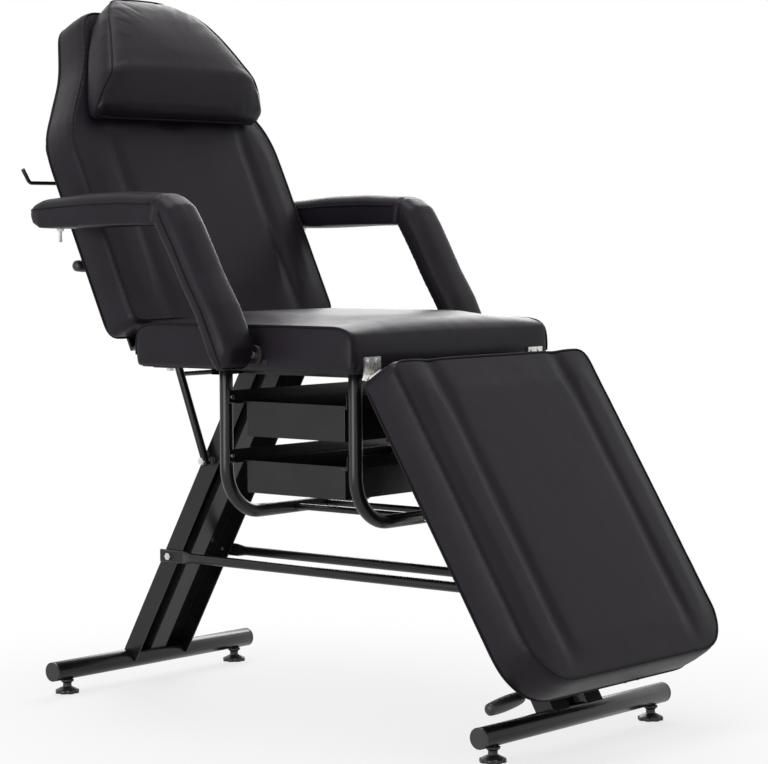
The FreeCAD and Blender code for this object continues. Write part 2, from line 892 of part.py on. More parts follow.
def slot_wire(x, y, z, straight, radius):
    """A flattened tube's section across X: two lines joined by half circles."""
    up = straight / 2
    points = [Vector(x, y - radius, z - up), Vector(x, y - radius, z + up),
              Vector(x, y, z + up + radius), Vector(x, y + radius, z + up),
              Vector(x, y + radius, z - up), Vector(x, y, z - up - radius)]
    edges = [
        Part.LineSegment(points[0], points[1]),
        Part.Arc(points[1], points[2], points[3]),
        Part.LineSegment(points[3], points[4]),
        Part.Arc(points[4], points[5], points[0]),
    ]
    return Part.Wire([edge.toShape() for edge in edges])


def build_tie_rods():
    rods = []
    rear = tie_end_x() - size("tie_flat_height") / 2 - size("tie_end_margin")
    flat = rear + size("tie_flat_length")
    round_start = flat + size("tie_taper_length")
    mirror = size("bar_spacing")
    thin = size("tie_flat_thickness") / 2
    full = size("tie_rod_dia") / 2
    flat_run = size("tie_flat_height") - size("tie_flat_thickness")
    round_run = size("bore_clearance")
    for side in SIDES:
        y = side * (size("leg_width") / 2 + thin)
        stations = [(rear, flat_run, thin), (flat, flat_run, thin), (round_start, round_run, full),
                    (mirror - round_start, round_run, full), (mirror - flat, flat_run, thin),
                    (mirror - rear, flat_run, thin)]
        wires = [slot_wire(x, y, size("tie_height"), run, radius) for x, run, radius in stations]
        rods.append(solid_feature(Part.makeLoft(wires, True, True)))
    node(drilled(group(*rods), "bolt", tie_bolt_places()), "tie_rods")


# Subframe under the seat
def build_seat_frame():
    width = size("rail_width")
    start = size("rear_cross_bar_x") + width / 2
    rails = []
    bars = []
    low = size("leg_top_height")
    for side in SIDES:
        corner = Vector(start, side * size("rail_y") - width / 2, low)
        outer = box("front_cross_bar_x - rear_cross_bar_x - rail_width", "rail_width",
                    "rail_height", corner)
        hollow = corner + Vector(0, size("tube_wall"), size("tube_wall"))
        inner = box("front_cross_bar_x - rear_cross_bar_x - rail_width",
                    "rail_width - 2 * tube_wall", "rail_height - 2 * tube_wall", hollow)
        rails.append(cut(outer, inner))
    for x in (size("rear_cross_bar_x"), size("front_cross_bar_x")):
        corner = Vector(x - width / 2, -size("cross_bar_length") / 2, low)
        outer = box("rail_width", "cross_bar_length", "rail_height", corner)
        hollow = corner + Vector(size("tube_wall"), 0, size("tube_wall"))
        inner = box("rail_width - 2 * tube_wall", "cross_bar_length",
                    "rail_height - 2 * tube_wall", hollow)
        bars.append(cut(outer, inner))
    node(group(*rails), "seat_rails")
    node(drilled(group(*bars), "bolt", cross_bolt_places()), "seat_cross_bars")


def build_tray_frame(label, x):
    half = size("tray_frame_half_width")
    low = size("tray_frame_bottom")
    path = [(-half, SEAT_Z), (-half, low), (half, low), (half, SEAT_Z)]
    radius = size("tray_frame_dia") / 2
    tube = bent_tube("XY_Plane", SEAT_Z, (0, -half), path, size("tray_frame_bend"),
                     (radius, radius - size("tube_wall")))
    tube.Placement = Placement(Vector(x, 0, 0), Rotation())
    screws = rail_screw_places(size("upper_tray_top")) + rail_screw_places(size("lower_tray_top"))
    node(drilled(drilled(tube, "bolt", brace_bolt_places()), "screw", screws), label)


def build_braces():
    braces = []
    start = size("rear_frame_x")
    for side in SIDES:
        bar = cylinder("brace_dia / 2", "front_frame_x - rear_frame_x",
                       Vector(start, side * size("brace_y"), size("tray_frame_bottom")), X_AXIS)
        tubes = [
            cylinder("tray_frame_dia / 2", "brace_dia * 2",
                     Vector(x, side * size("brace_y") - size("brace_dia"),
                            size("tray_frame_bottom")), Y_AXIS)
            for x in (start, size("front_frame_x"))
        ]
        braces.append(cut(bar, *tubes))
    node(group(*braces), "tray_frame_braces")


# Trays and their rails
def tray_start():
    """The trays sit midway between the two tray frames."""
    return (size("rear_frame_x") + size("front_frame_x") - size("tray_length")) / 2


def rail_screw_places(top):
    """Screws through a tray rail into the tray frame's upright tubes."""
    level = top + size("tray_rail_height") / 3
    inner = size("tray_frame_dia") / 2 + size("tray_rail_sheet")
    places = []
    for x, way in ((size("rear_frame_x"), 1), (size("front_frame_x"), -1)):
        for side in SIDES:
            at = Vector(x + way * inner, side * size("tray_frame_half_width"), level)
            places.append((at, Vector(-way, 0, 0)))
    return places


def build_tray_rails(label, top):
    """Angle rails screwed to the tray frames, with ledges that carry a tray's lips."""
    rails = []
    y = -size("tray_rail_length") / 2
    ledge_z = top - size("tray_sheet") - size("tray_clearance") - size("tray_rail_sheet")
    rear = size("rear_frame_x") + size("tray_frame_dia") / 2
    front = size("front_frame_x") - size("tray_frame_dia") / 2
    for wall_x, ledge_x in (
        (rear, rear),
        (front - size("tray_rail_sheet"), front - size("tray_rail_ledge")),
    ):
        wall = box("tray_rail_sheet", "tray_rail_length", "tray_rail_height",
                   Vector(wall_x, y, ledge_z))
        ledge = box("tray_rail_ledge", "tray_rail_length", "tray_rail_sheet",
                    Vector(ledge_x, y, ledge_z))
        rails.append(fuse(wall, ledge))
    between_legs = box("leg_depth * 3", "leg_width + 2 * side_clearance", "tray_rail_height * 2",
                       Vector(front_leg_edge(ledge_z + size("tray_rail_height")),
                              -size("leg_width") / 2 - size("side_clearance"),
                              ledge_z - size("tray_rail_height") / 2))
    rails[1] = cut(rails[1], between_legs)
    node(drilled(group(*rails), "screw", rail_screw_places(top)), label)


def front_leg_edge(height):
    """The front leg's edge towards the trays at a height."""
    rise = height - BAR_Z
    open_side = size("leg_depth") - size("leg_rear_offset")
    return (size("bar_spacing") - rise * math.tan(LEAN) - open_side / math.cos(LEAN)
            - size("side_clearance"))


def build_tray(label, top, depth):
    """An open sheet box with a lip along its rear and front edges."""
    wall = size("tray_sheet")
    x = tray_start()
    y = -size("tray_width") / 2
    low = size(top) - size(depth)
    outer = box("tray_length", "tray_width", depth, Vector(x, y, low))
    inner = box("tray_length - 2 * tray_sheet", "tray_width - 2 * tray_sheet", depth,
                Vector(x + wall, y + wall, low + wall))
    lips = [
        box("tray_lip + tray_sheet", "tray_width", "tray_sheet",
            Vector(lip_x, y, size(top) - wall))
        for lip_x in (x - size("tray_lip"), x + size("tray_length") - wall)
    ]
    node(fuse(cut(outer, inner), *lips), label)


# Seat
def socket_corner(side):
    """The lowest corner of a mounting block inside the seat's side."""
    outer = size("chair_width") / 2
    y = outer - size("socket_depth") if side > 0 else -outer
    return Vector(size("arm_pivot_x") - size("socket_length") / 2, y,
                  SEAT_Z + size("board_thickness"))


def arm_bolt_start(side):
    """The inner end of an armrest's pivot bolt, inside its mounting block."""
    y = side * (size("chair_width") / 2 - size("socket_depth") / 2)
    return Vector(size("arm_pivot_x"), y, size("arm_pivot_z"))


def arm_bore(side, spare):
    return cylinder(f"arm_bolt_dia / 2 + {spare}", "socket_depth + arm_bolt_reach",
                    arm_bolt_start(side), Vector(0, side, 0))


def build_seat():
    lift = Placement(Vector(0, 0, SEAT_Z), Rotation())
    plate = board(seat_corners(), size("board_inset"), "XY_Plane")
    plate.Placement = lift
    bottom_bolts = cross_bolt_places() + bracket_bolt_places()
    node(drilled(plate, "bolt", [(at, along) for at, along in long_places(bottom_bolts)]),
         "seat_board")
    foam = cushion(seat_corners(), size("seat_side_height"), size("seat_crown_height"), flat_lay)
    foam.Placement = lift
    pocket = board(seat_corners(), size("board_inset"), "XY_Plane")
    pocket.Placement = lift
    blocks = []
    tools = [pocket]
    for side in SIDES:
        corner = socket_corner(side)
        block = box("socket_length", "socket_depth", "socket_height", corner)
        blocks.append(cut(block, arm_bore(side, "bore_clearance")))
        tools.append(box("socket_length", "socket_depth + cut_overrun", "socket_height",
                         corner - Vector(0, 0 if side > 0 else size("cut_overrun"), 0)))
        tools.append(arm_bore(side, "bore_clearance"))
    node(drilled(cut(foam, *tools), "screw", seat_leaf_screws()), "seat_cushion")
    node(group(*blocks), "armrest_sockets")


def long_places(places):
    """The holes in the seat board start at its underside."""
    return [(Vector(at.x, at.y, SEAT_Z), along) for at, along in places]


# Backrest
def strap_bolt_places():
    """Bolts through the straps into the back board, in the backrest's own frame."""
    face = -size("strap_thickness")
    low = size("strap_bolt_low")
    return [
        (Vector(face, side * size("strap_y"), low + step * size("strap_bolt_spacing")), X_AXIS)
        for side in SIDES
        for step in (0, 1)
    ]


def rail_screw_heights(low, high):
    return (low + size("rail_screw_margin"), high - size("rail_screw_margin") / 4)


def notch_rail_span(bar_height, tail):
    """Both ends of a notched rail along the backrest or leg rest."""
    last = bar_height + (size("notch_count") - 1) * size("notch_pitch")
    return bar_height - size(tail), last + size("notch_rail_head")


def panel_screw_places(bar_height, tail):
    """Screws through the webs of the notched rails into the board."""
    low, high = notch_rail_span(bar_height, tail)
    return [
        (Vector(-size("notch_rail_sheet"), side * size("strut_y"), height), X_AXIS)
        for side in SIDES
        for height in rail_screw_heights(low, high)
    ]


def clamp_screw_places():
    head = size("screw_head_dia")
    across = size("rod_clamp_length") / 2 - head * CLAMP_SCREW_ACROSS_SHARE
    up = size("rod_clamp_height") / 2 - head * CLAMP_SCREW_UP_SHARE
    return [
        (Vector(-size("rod_clamp_sheet"), size("rod_clamp_y") + a * across,
                size("rod_height") + b * up), X_AXIS)
        for a in SIDES
        for b in SIDES
    ]


def channel_tools(depth, low, high):
    """Long round tools that press the two soft channels into a cushion's front."""
    axis_depth = depth + size("channel_radius") - size("channel_depth")
    tools = []
    for side in SIDES:
        start = Vector(axis_depth, side * size("channel_y"), low)
        tool = doc.addObject("Part::Cylinder", "Channel")
        bind(tool, Radius="channel_radius")
        tool.Height = high - low
        tool.Placement = Placement(start, Rotation())
        tools.append(tool)
    return tools


def face_hole(radius, depth, start):
    return cylinder(radius, depth, Vector(start, 0, size("face_hole_height")), X_AXIS)


def build_back():
    hole = circle(0, size("face_hole_height"), size("face_hole_dia") / 2)
    plate = board(back_corners(), size("board_inset"), "YZ_Plane", (hole,))
    bar = size("back_bar_height")
    screws = panel_screw_places(bar, "notch_rail_tail") + clamp_screw_places()
    node(drilled(drilled(plate, "bolt", strap_bolt_places()), "screw", screws), "back_board", BACK)
    foam = cushion(back_corners(), size("back_side_depth"), size("back_crown_height"), upright_lay)
    pocket = board(back_corners(), size("board_inset"), "YZ_Plane")
    full = size("back_side_depth") + size("back_crown_height")
    bore = face_hole("face_hole_dia / 2", "back_side_depth * 2", 0)
    flare = cone("face_hole_dia / 2", "face_hole_dia / 2 + 2 * face_hole_flare",
                 "2 * face_hole_flare",
                 Vector(full - size("face_hole_flare"), 0, size("face_hole_height")), X_AXIS)
    margin = size("channel_end_margin")
    channels = channel_tools(full, margin, size("back_shoulder_height") - margin)
    node(cut(foam, pocket, bore, flare, *channels), "back_cushion", BACK)
    node(bolts("bolt", strap_bolt_places()), "back_strap_bolts", BACK)
    node(bolts("screw", screws), "back_panel_screws", BACK)


def notched_rail(bar_height, tail, side):
    """A channel with sloped notches cut through both flanges."""
    low, high = notch_rail_span(bar_height, tail)
    half = size("notch_rail_width") / 2
    wall = size("notch_rail_sheet")
    depth = size("notch_rail_depth")
    section = [(0, -half), (0, half), (-depth, half), (-depth, half - wall),
               (-wall, half - wall), (-wall, wall - half), (-depth, wall - half), (-depth, -half)]
    body = new_body()
    length = f"(notch_count - 1) * notch_pitch + {tail} + notch_rail_head"
    pad(body, sketch(body, "XY_Plane", polygon(section)), length)
    centre = bar_height - low
    seat = size("release_bar_dia") / 2 + size("notch_clearance")
    root = -(size("release_bar_offset") - seat)
    run = size("notch_run") * (depth + root + size("cut_overrun")) / (depth + root)
    mouth = -depth - size("cut_overrun")
    notch = [(mouth, centre - seat), (root, centre - seat), (root, centre + seat),
             (mouth, centre + seat + run)]
    pocket = body.newObject("PartDesign::Pocket", "Notch")
    pocket.Profile = sketch(body, "XZ_Plane", polygon(notch))
    pocket.SideType = "Symmetric"
    bind(pocket, Length="notch_rail_width * 2")
    row = body.newObject("PartDesign::LinearPattern", "Notches")
    row.Originals = [pocket]
    row.Direction = (origin_item(body, "Z_Axis"), [""])
    bind(row, Length="(notch_count - 1) * notch_pitch", Occurrences="notch_count")
    body.Tip = row
    body.Placement = Placement(Vector(0, side * size("strut_y"), low), Rotation())
    return body


def build_notched_rails(label, bar_height, tail, frame):
    rails = group(*[notched_rail(bar_height, tail, side) for side in SIDES])
    node(drilled(rails, "screw", panel_screw_places(bar_height, tail)), label, frame)


def back_hinge_local():
    """The backrest's hinge axis in the backrest's own frame."""
    return BACK_LOCAL.inverse().multVec(Vector(size("back_hinge_x"), 0, size("back_hinge_z")))


def hinge_barrel(radius, width, centre_x, y, centre_z):
    return cylinder(radius, width, Vector(centre_x, y, centre_z), Y_AXIS)


def build_straps():
    """Straps down the back board, bent forward under it to a knuckle at the hinge."""
    axis = back_hinge_local()
    straps = []
    thick = size("strap_thickness")
    for side in SIDES:
        low_y = side * size("strap_y") - size("strap_width") / 2
        upright = box("strap_thickness", "strap_width", "strap_rise + strap_drop",
                      Vector(-thick, low_y, -size("strap_drop")))
        shelf = box("strap_thickness + strap_stop", "strap_width", "strap_thickness",
                    Vector(-thick, low_y, -size("strap_drop")))
        inner_y = low_y if side > 0 else low_y + (size("strap_width") + size("side_clearance")) / 2
        tongue = doc.addObject("Part::Box", "Tongue")
        bind(tongue, Width="(strap_width - side_clearance) / 2", Height="strap_thickness")
        tongue.Length = axis.x + thick
        tongue.Placement = Placement(Vector(-thick, inner_y, -size("strap_drop")), Rotation())
        knuckle = hinge_barrel("back_knuckle_dia / 2", "(strap_width - side_clearance) / 2",
                               axis.x, inner_y, axis.z)
        bore = hinge_barrel("back_pin_dia / 2 + bore_clearance", "strap_width * 2",
                            axis.x, low_y - size("strap_width") / 2, axis.z)
        straps.append(cut(fuse(upright, shelf, tongue, knuckle), bore))
    node(drilled(group(*straps), "bolt", strap_bolt_places()), "back_straps", BACK)


def build_hinge_brackets():
    """Brackets on the seat's rear face, bent under it, with pins for the straps."""
    brackets = []
    pins = []
    x = size("back_hinge_x")
    z = size("back_hinge_z")
    thick = size("strap_thickness")
    rear = size("seat_rear_x") - size("side_clearance")
    for side in SIDES:
        width = "(strap_width - side_clearance) / 2"
        low_y = side * size("strap_y") - size("strap_width") / 2
        outer_y = low_y + (size("strap_width") + size("side_clearance")) / 2 if side > 0 else low_y
        plate = doc.addObject("Part::Box", "Plate")
        bind(plate, Length="strap_thickness", Width=width)
        plate.Height = z + thick / 2 - SEAT_Z + thick
        plate.Placement = Placement(Vector(rear - thick, outer_y, SEAT_Z - thick), Rotation())
        arm = doc.addObject("Part::Box", "Arm")
        bind(arm, Width=width, Height="strap_thickness")
        arm.Length = rear - x
        arm.Placement = Placement(Vector(x, outer_y, z - thick / 2), Rotation())
        foot = box("bracket_foot", width, "strap_thickness",
                   Vector(rear - thick, outer_y, SEAT_Z - thick))
        knuckle = hinge_barrel("back_knuckle_dia / 2", width, x, outer_y, z)
        bore = hinge_barrel("back_pin_dia / 2 + bore_clearance", "strap_width * 2", x,
                            low_y - size("strap_width") / 2, z)
        brackets.append(cut(fuse(plate, arm, foot, knuckle), bore))
        pins.append(hinge_barrel("back_pin_dia / 2", "strap_width", x, low_y, z))
    holes = bracket_bolt_places()
    node(drilled(group(*brackets), "bolt", holes), "back_hinge_brackets")
    node(group(*pins), "back_hinge_pins")


# Leg rest
def leaf_screw_places(x, way, low):
    """Two screws through a hinge leaf on each side."""
    step = size("leaf_width") / 4
    return [
        (Vector(x, side * size("leaf_y") + edge * step, low), way)
        for side in SIDES
        for edge in SIDES
    ]


def seat_leaf_screws():
    front = size("seat_rear_x") + size("seat_length") + size("side_clearance")
    return leaf_screw_places(front + size("leaf_thickness"), Vector(-1, 0, 0),
                             SEAT_Z + size("leaf_height") * SEAT_SCREW_SHARE)


def rest_leaf_screws():
    return [
        (Vector(size("rest_leaf_screw_depth"), at.y, size("leaf_thickness") + size("side_clearance")),
         Vector(0, 0, -1))
        for at, way in leaf_screw_places(0, X_AXIS, 0)
    ]


def build_rest_hinges():
    """Butt hinges in the gap between the seat and the leg rest."""
    x = size("rest_hinge_x")
    z = size("rest_hinge_z")
    axis = REST_LOCAL.inverse().multVec(Vector(x, 0, z))
    third = "leaf_width / 3 - leaf_gap"
    step = size("leaf_width") / 3
    front = size("seat_rear_x") + size("seat_length") + size("side_clearance")
    fixed = []
    moving = []
    pins = []
    for side in SIDES:
        low_y = side * size("leaf_y") - size("leaf_width") / 2
        whole = box("leaf_thickness", "leaf_width", "leaf_height",
                    Vector(front, low_y, SEAT_Z + size("leaf_gap")))
        barrels = []
        for slot in (0, 2):
            y = low_y + slot * step + size("leaf_gap") / 2
            tail = doc.addObject("Part::Box", "Tail")
            bind(tail, Length="leaf_thickness", Width=third)
            tail.Height = SEAT_Z + size("leaf_thickness") - z
            tail.Placement = Placement(Vector(front, y, z), Rotation())
            barrels += [tail, hinge_barrel("rest_knuckle_dia / 2", third, x, y, z)]
        bore = hinge_barrel("rest_pin_dia / 2 + bore_clearance", "leaf_width", x, low_y, z)
        fixed.append(cut(fuse(whole, *barrels), bore))
        pins.append(hinge_barrel("rest_pin_dia / 2", "leaf_width", x, low_y, z))
        middle_y = low_y + step + size("leaf_gap") / 2
        plate = doc.addObject("Part::Box", "Leaf")
        bind(plate, Width="leaf_width", Height="leaf_thickness")
        plate.Length = size("leaf_height")
        plate.Placement = Placement(
            Vector(size("leaf_thickness") / 2, low_y, size("side_clearance")), Rotation())
        tongue = doc.addObject("Part::Box", "Tongue")
        bind(tongue, Width=third, Height="leaf_thickness")
        tongue.Length = size("leaf_thickness") - axis.x
        tongue.Placement = Placement(Vector(axis.x, middle_y, size("side_clearance")), Rotation())
        barrel = hinge_barrel("rest_knuckle_dia / 2", third, axis.x, middle_y, axis.z)
        hole = hinge_barrel("rest_pin_dia / 2 + bore_clearance", "leaf_width", axis.x, low_y,
                            axis.z)
        moving.append(cut(fuse(plate, tongue, barrel), hole))
    node(drilled(group(*fixed), "screw", seat_leaf_screws()), "leg_rest_seat_leaves")
    node(drilled(group(*moving), "screw", rest_leaf_screws()), "leg_rest_leaves", REST)
    node(group(*pins), "leg_rest_hinge_pins")


def build_rest():
    bar = -size("rest_bar_drop")
    screws = panel_screw_places(bar, "notch_rail_tail_rest")
    plate = board(rest_corners(), size("board_inset"), "YZ_Plane")
    node(drilled(plate, "screw", screws), "leg_rest_board", REST)
    foam = cushion(rest_corners(), size("rest_side_depth"), size("rest_crown_height"), upright_lay)
    pocket = board(rest_corners(), size("board_inset"), "YZ_Plane")
    full = size("rest_side_depth") + size("rest_crown_height")
    margin = size("channel_end_margin")
    channels = channel_tools(full, margin - size("rest_length"), -margin)
    leaf_screws = rest_leaf_screws()
    node(drilled(cut(foam, pocket, *channels), "screw", leaf_screws), "leg_rest_cushion", REST)
    node(bolts("screw", screws + leaf_screws), "leg_rest_screws", REST)


# Struts, release bars and grips
def bar_centre(local, height):
    """A release bar's axis at rest, in the chair's frame."""
    return local.multVec(Vector(-size("release_bar_offset"), 0, height))


def build_strut(label, pivot, bar, brace_share):
    """Twin tubes with a cross brace, bored for the pivot bolts and the release bar."""
    run = bar - pivot
    along = Vector(run).normalize()
    tubes = []
    overhang = along * size("strut_overhang")
    for side in SIDES:
        tube = doc.addObject("Part::Cylinder", "Strut")
        bind(tube, Radius="strut_dia / 2")
        tube.Height = run.Length + 2 * size("strut_overhang")
        tube.Placement = Placement(pivot - overhang + Y_AXIS * (side * size("strut_y")),
                                   Rotation(Z_AXIS, along))
        tubes.append(tube)
    at = pivot + run * brace_share - Y_AXIS * size("strut_y")
    brace = cylinder("strut_brace_dia / 2", "2 * strut_y", at, Y_AXIS)
    reach = Y_AXIS * (size("strut_y") + size("strut_dia"))
    wide = "2 * (strut_y + strut_dia)"
    pivot_bore = cylinder("bolt_dia / 2 + bore_clearance", wide, pivot - reach, Y_AXIS)
    bar_bore = cylinder("release_bar_dia / 2 + bore_clearance", wide, bar - reach, Y_AXIS)
    node(cut(fuse(*tubes, brace), pivot_bore, bar_bore), label)


def build_strut_bolts():
    """Pivot bolts through the leg's flange, a washer and the strut's tube."""
    items = []
    z = size("strut_pivot_z")
    for x in (size("back_strut_x"), size("rest_strut_x")):
        for side in SIDES:
            along = Vector(0, -side, 0)
            outside = size("strut_y") + size("strut_dia") / 2 + size("side_clearance")
            at = Vector(x, side * outside, z)
            head = hexagon("bolt_head_dia / 2", "bolt_head_height",
                           at - along * size("bolt_head_height"), along)
            reach = outside - size("leg_width") / 2 + size("leg_sheet") + size("bolt_dia")
            shank = doc.addObject("Part::Cylinder", "Shank")
            bind(shank, Radius="bolt_dia / 2")
            shank.Height = reach
            shank.Placement = Placement(at, Rotation(Z_AXIS, along))
            washer = doc.addObject("Part::Cylinder", "Washer")
            bind(washer, Radius="pivot_washer_dia / 2")
            washer.Height = (size("strut_y") - size("strut_dia") / 2 - size("leg_width") / 2
                             - size("side_clearance"))
            washer.Placement = Placement(
                Vector(x, side * size("leg_width") / 2, z), Rotation(Z_AXIS, -along))
            items.append(fuse(head, shank, washer))
    node(group(*items), "strut_pivot_bolts")


def grip(bore_radius):
    """A turned grip along its own axis, thick in the middle, from its inner end."""
    long = size("grip_length")
    full = size("grip_dia") / 2
    neck = size("grip_neck_dia") / 2
    outline = [(bore_radius, 0), (neck, 0), (full, long / 4), (full, long * 3 / 4),
               (neck, long - size("grip_end_margin") / 2), (0, long), (0, long - neck / 2),
               (bore_radius, long - neck / 2)]
    body = new_body()
    turn = body.newObject("PartDesign::Revolution", "Turned")
    profile = sketch(body, "XZ_Plane", polygon(outline))
    turn.Profile = profile
    turn.ReferenceAxis = (profile, ["V_Axis"])
    turn.Angle = 360
    return body


def build_release_bar(label, grips_label, centre, half_length, bend_y, fall, sides):
    """A bar across both strut tubes, with a grip on each named side that may slope down."""
    if fall:
        points = [(-half_length, -fall), (-bend_y, 0), (size("rest_bar_free_end"), 0)]
        slope = Vector(0, half_length - bend_y, -fall).normalize()
        radius = size("release_bar_dia") / 2
        paths = rounded_path(points, size("rest_bar_bend_radius"))
        spine = Part.Wire([edge.toShape() for edge in paths])
        spine.Placement = Placement(centre, Rotation(Y_AXIS, Z_AXIS, X_AXIS, "ZXY"))
        start = centre + Vector(0, points[0][0], points[0][1])
        ring = Part.Wire(Part.makeCircle(radius, start, Vector(0, slope.y, -slope.z)))
        bar = solid_feature(spine.makePipeShell([ring], True, False))
    else:
        slope = Vector(Y_AXIS)
        bar = doc.addObject("Part::Cylinder", "Bar")
        bind(bar, Radius="release_bar_dia / 2")
        bar.Height = 2 * half_length
        bar.Placement = Placement(centre - Y_AXIS * half_length, Rotation(Z_AXIS, Y_AXIS))
    node(bar, label, CHAIR.multiply(bar.Placement))
    grips = []
    neck = size("grip_neck_dia") / 4
    inner = size("grip_length") - neck
    for side in sides:
        along = Vector(slope.x, side * slope.y, slope.z)
        tip = centre + Vector(0, side * half_length, -fall)
        item = grip(size("release_bar_dia") / 2 + size("bore_clearance"))
        item.Placement = Placement(tip - along * inner, Rotation(Z_AXIS, along))
        grips.append(item)
    node(group(*grips), grips_label)


# Armrests
def arm_frame(side):
    """An armrest's own frame: its pivot, on the armrest's middle plane."""
    y = side * (size("arm_inner_y") + size("arm_width") / 2)
    return Placement(Vector(size("arm_pivot_x"), y, size("arm_pivot_z")), Rotation())


def arm_elbow():
    """The elbow's inner corner and the mitre's outward way, in the armrest's frame."""
    lean = math.radians(size("arm_elbow_lean"))
    corner = Vector(-size("arm_elbow_back"), 0, size("arm_elbow_rise"))
    return corner, Vector(math.cos(lean), 0, math.sin(lean))


def arm_wire(base, outward, depth_share, width_share):
    return padded_wire(base, outward, size("arm_width") / 2 * width_share,
                       size("arm_depth") * depth_share, size("arm_strip"), ARM_SHOULDER_SHARES)


def build_armrest(name, side):
    corner, mitre = arm_elbow()
    depth = size("arm_depth")
    elbow = arm_wire(corner, mitre, ELBOW_DEPTH_SHARE, 1)
    pad_wires = [elbow]
    for along, lift, deep, wide in PAD_SHARES:
        base = corner + Vector(-along * size("arm_pad_length"), 0, lift * depth)
        pad_wires.append(arm_wire(base, Z_AXIS, deep, wide))
    lean = math.radians(size("arm_post_lean"))
    outward = Vector(math.cos(lean), 0, math.sin(lean))
    post_wires = [elbow]
    for reach, drop, deep, wide in POST_SHARES:
        base = corner + Vector(reach * size("arm_post_reach"), 0, -drop * size("arm_post_drop"))
        post_wires.append(arm_wire(base, outward, deep, wide))
    frame = CHAIR.multiply(arm_frame(side))
    node(solid_feature(Part.makeLoft(pad_wires, True, True)), name + "_armrest_pad", frame)
    post = solid_feature(Part.makeLoft(post_wires, True, True))
    inner = Vector(0, -side * (size("arm_width") / 2 + size("cut_overrun")), 0)
    bore = cylinder("arm_bolt_dia / 2 + bore_clearance", "arm_bolt_reach + cut_overrun + "
                    "bore_clearance", inner, Vector(0, side, 0))
    node(cut(post, bore), name + "_armrest_post", frame)
    build_zip(name, frame)


def build_zip(name, frame):
    """A slider under the pad and the pull that hangs from it."""
    corner, mitre = arm_elbow()
    lift = PAD_SHARES[3][1] * size("arm_depth")
    x = corner.x - size("arm_pad_length") * PAD_SHARES[3][0]
    z = corner.z + lift - size("side_clearance")
    half = size("zip_slider_width") / 2
    slider = box("zip_slider_length", "zip_slider_width", "zip_slider_height",
                 Vector(x, -half, z - size("zip_slider_height")))
    slot = box("zip_slider_length / 2", "zip_pull_width + 2 * side_clearance",
               "zip_slider_height",
               Vector(x + size("zip_slider_length") / 4,
                      -size("zip_pull_width") / 2 - size("side_clearance"),
                      z - size("zip_slider_height") - size("zip_pull_thickness") / 2))
    pin_z = z - size("zip_slider_height") + size("zip_pin_dia")
    pin_x = x + size("zip_slider_length") / 2
    pin = cylinder("zip_pin_dia / 2", "zip_slider_width", Vector(pin_x, -half, pin_z), Y_AXIS)
    node(fuse(cut(slider, slot), pin), name + "_zip_slider", frame)
    pull = box("zip_pull_thickness * 2", "zip_pull_width", "zip_pull_length",
               Vector(pin_x - size("zip_pull_thickness"), -size("zip_pull_width") / 2,
                      pin_z + size("zip_pull_thickness") - size("zip_pull_length")))
    eye = cylinder("zip_pin_dia / 2 + bore_clearance", "zip_slider_width",
                   Vector(pin_x, -half, pin_z), Y_AXIS)
    node(cut(pull, eye), name + "_zip_pull", frame)


def build_arm_mounts():
    """Spacer rings against the seat's sides and the bolts through them."""
    rings = []
    rods = []
    for side in SIDES:
        along = Vector(0, side, 0)
        seat_face = Vector(size("arm_pivot_x"), side * size("chair_width") / 2,
                           size("arm_pivot_z"))
        ring = doc.addObject("Part::Cylinder", "Spacer")
        bind(ring, Radius="spacer_dia / 2",
             Height="arm_gap - side_clearance")
        ring.Placement = Placement(seat_face, Rotation(Z_AXIS, along))
        rings.append(cut(ring, arm_bore(side, "bore_clearance")))
        rods.append(cylinder(
            "arm_bolt_dia / 2",
            "socket_depth / 2 + arm_gap + arm_bolt_reach",
            arm_bolt_start(side), along))
    node(group(*rings), "armrest_spacers")
    node(group(*rods), "armrest_pivot_bolts")


# Pillow and paper rod
def build_pillow():
    base_x = size("back_side_depth") + size("back_crown_height") + size("soft_clearance")
    wires = []
    for along, deep, wide in PILLOW_SHARES:
        base = Vector(base_x, 0, size("pillow_foot_height") + along * size("pillow_length"))
        wires.append(padded_wire(base, X_AXIS, size("pillow_width") / 2 * wide,
                                 size("pillow_depth") * deep, size("pillow_strip"),
                                 PILLOW_SHOULDER_SHARES))
    node(solid_feature(Part.makeLoft(wires, True, True)), "pillow", BACK)


def rod_pivot():
    """The paper rod's pivot in the backrest's own frame."""
    return Vector(-size("rod_pivot_offset"), 0, size("rod_height"))


def build_rod():
    """A bent rod that hangs from a clamp and runs across behind the backrest."""
    y = size("rod_clamp_y")
    pivot = rod_pivot()
    plate = box("rod_clamp_sheet", "rod_clamp_length", "rod_clamp_height",
                Vector(-size("rod_clamp_sheet"), y - size("rod_clamp_length") / 2,
                       size("rod_height") - size("rod_clamp_height") / 2))
    start = Vector(pivot.x, y - size("rod_housing_length") / 2, pivot.z)
    housing = cylinder("rod_housing_dia / 2", "rod_housing_length", start, Y_AXIS)
    web = box("rod_pivot_offset", "rod_housing_length", "rod_dia",
              Vector(pivot.x, start.y, pivot.z - size("rod_dia") / 2))
    bore = cylinder("rod_dia / 2 + bore_clearance", "rod_housing_length", start, Y_AXIS)
    clamp = cut(fuse(plate, housing, web), bore)
    node(drilled(clamp, "screw", clamp_screw_places()), "rod_clamp", BACK)
    drop = -size("rod_drop")
    path = [(start.y, 0), (size("rod_leg_y"), 0), (size("rod_leg_y"), drop),
            (-size("rod_far_y"), drop),
            (-size("rod_far_y") - size("rod_tip_reach"), drop + size("rod_tip_rise"))]
    rod = bent_tube("XZ_Plane", -start.y, (0, 0), path, size("rod_bend"), (size("rod_dia") / 2,))
    world = BACK_LOCAL.multVec(pivot)
    node(rod, "paper_rod", CHAIR.multiply(Placement(world, Rotation())))


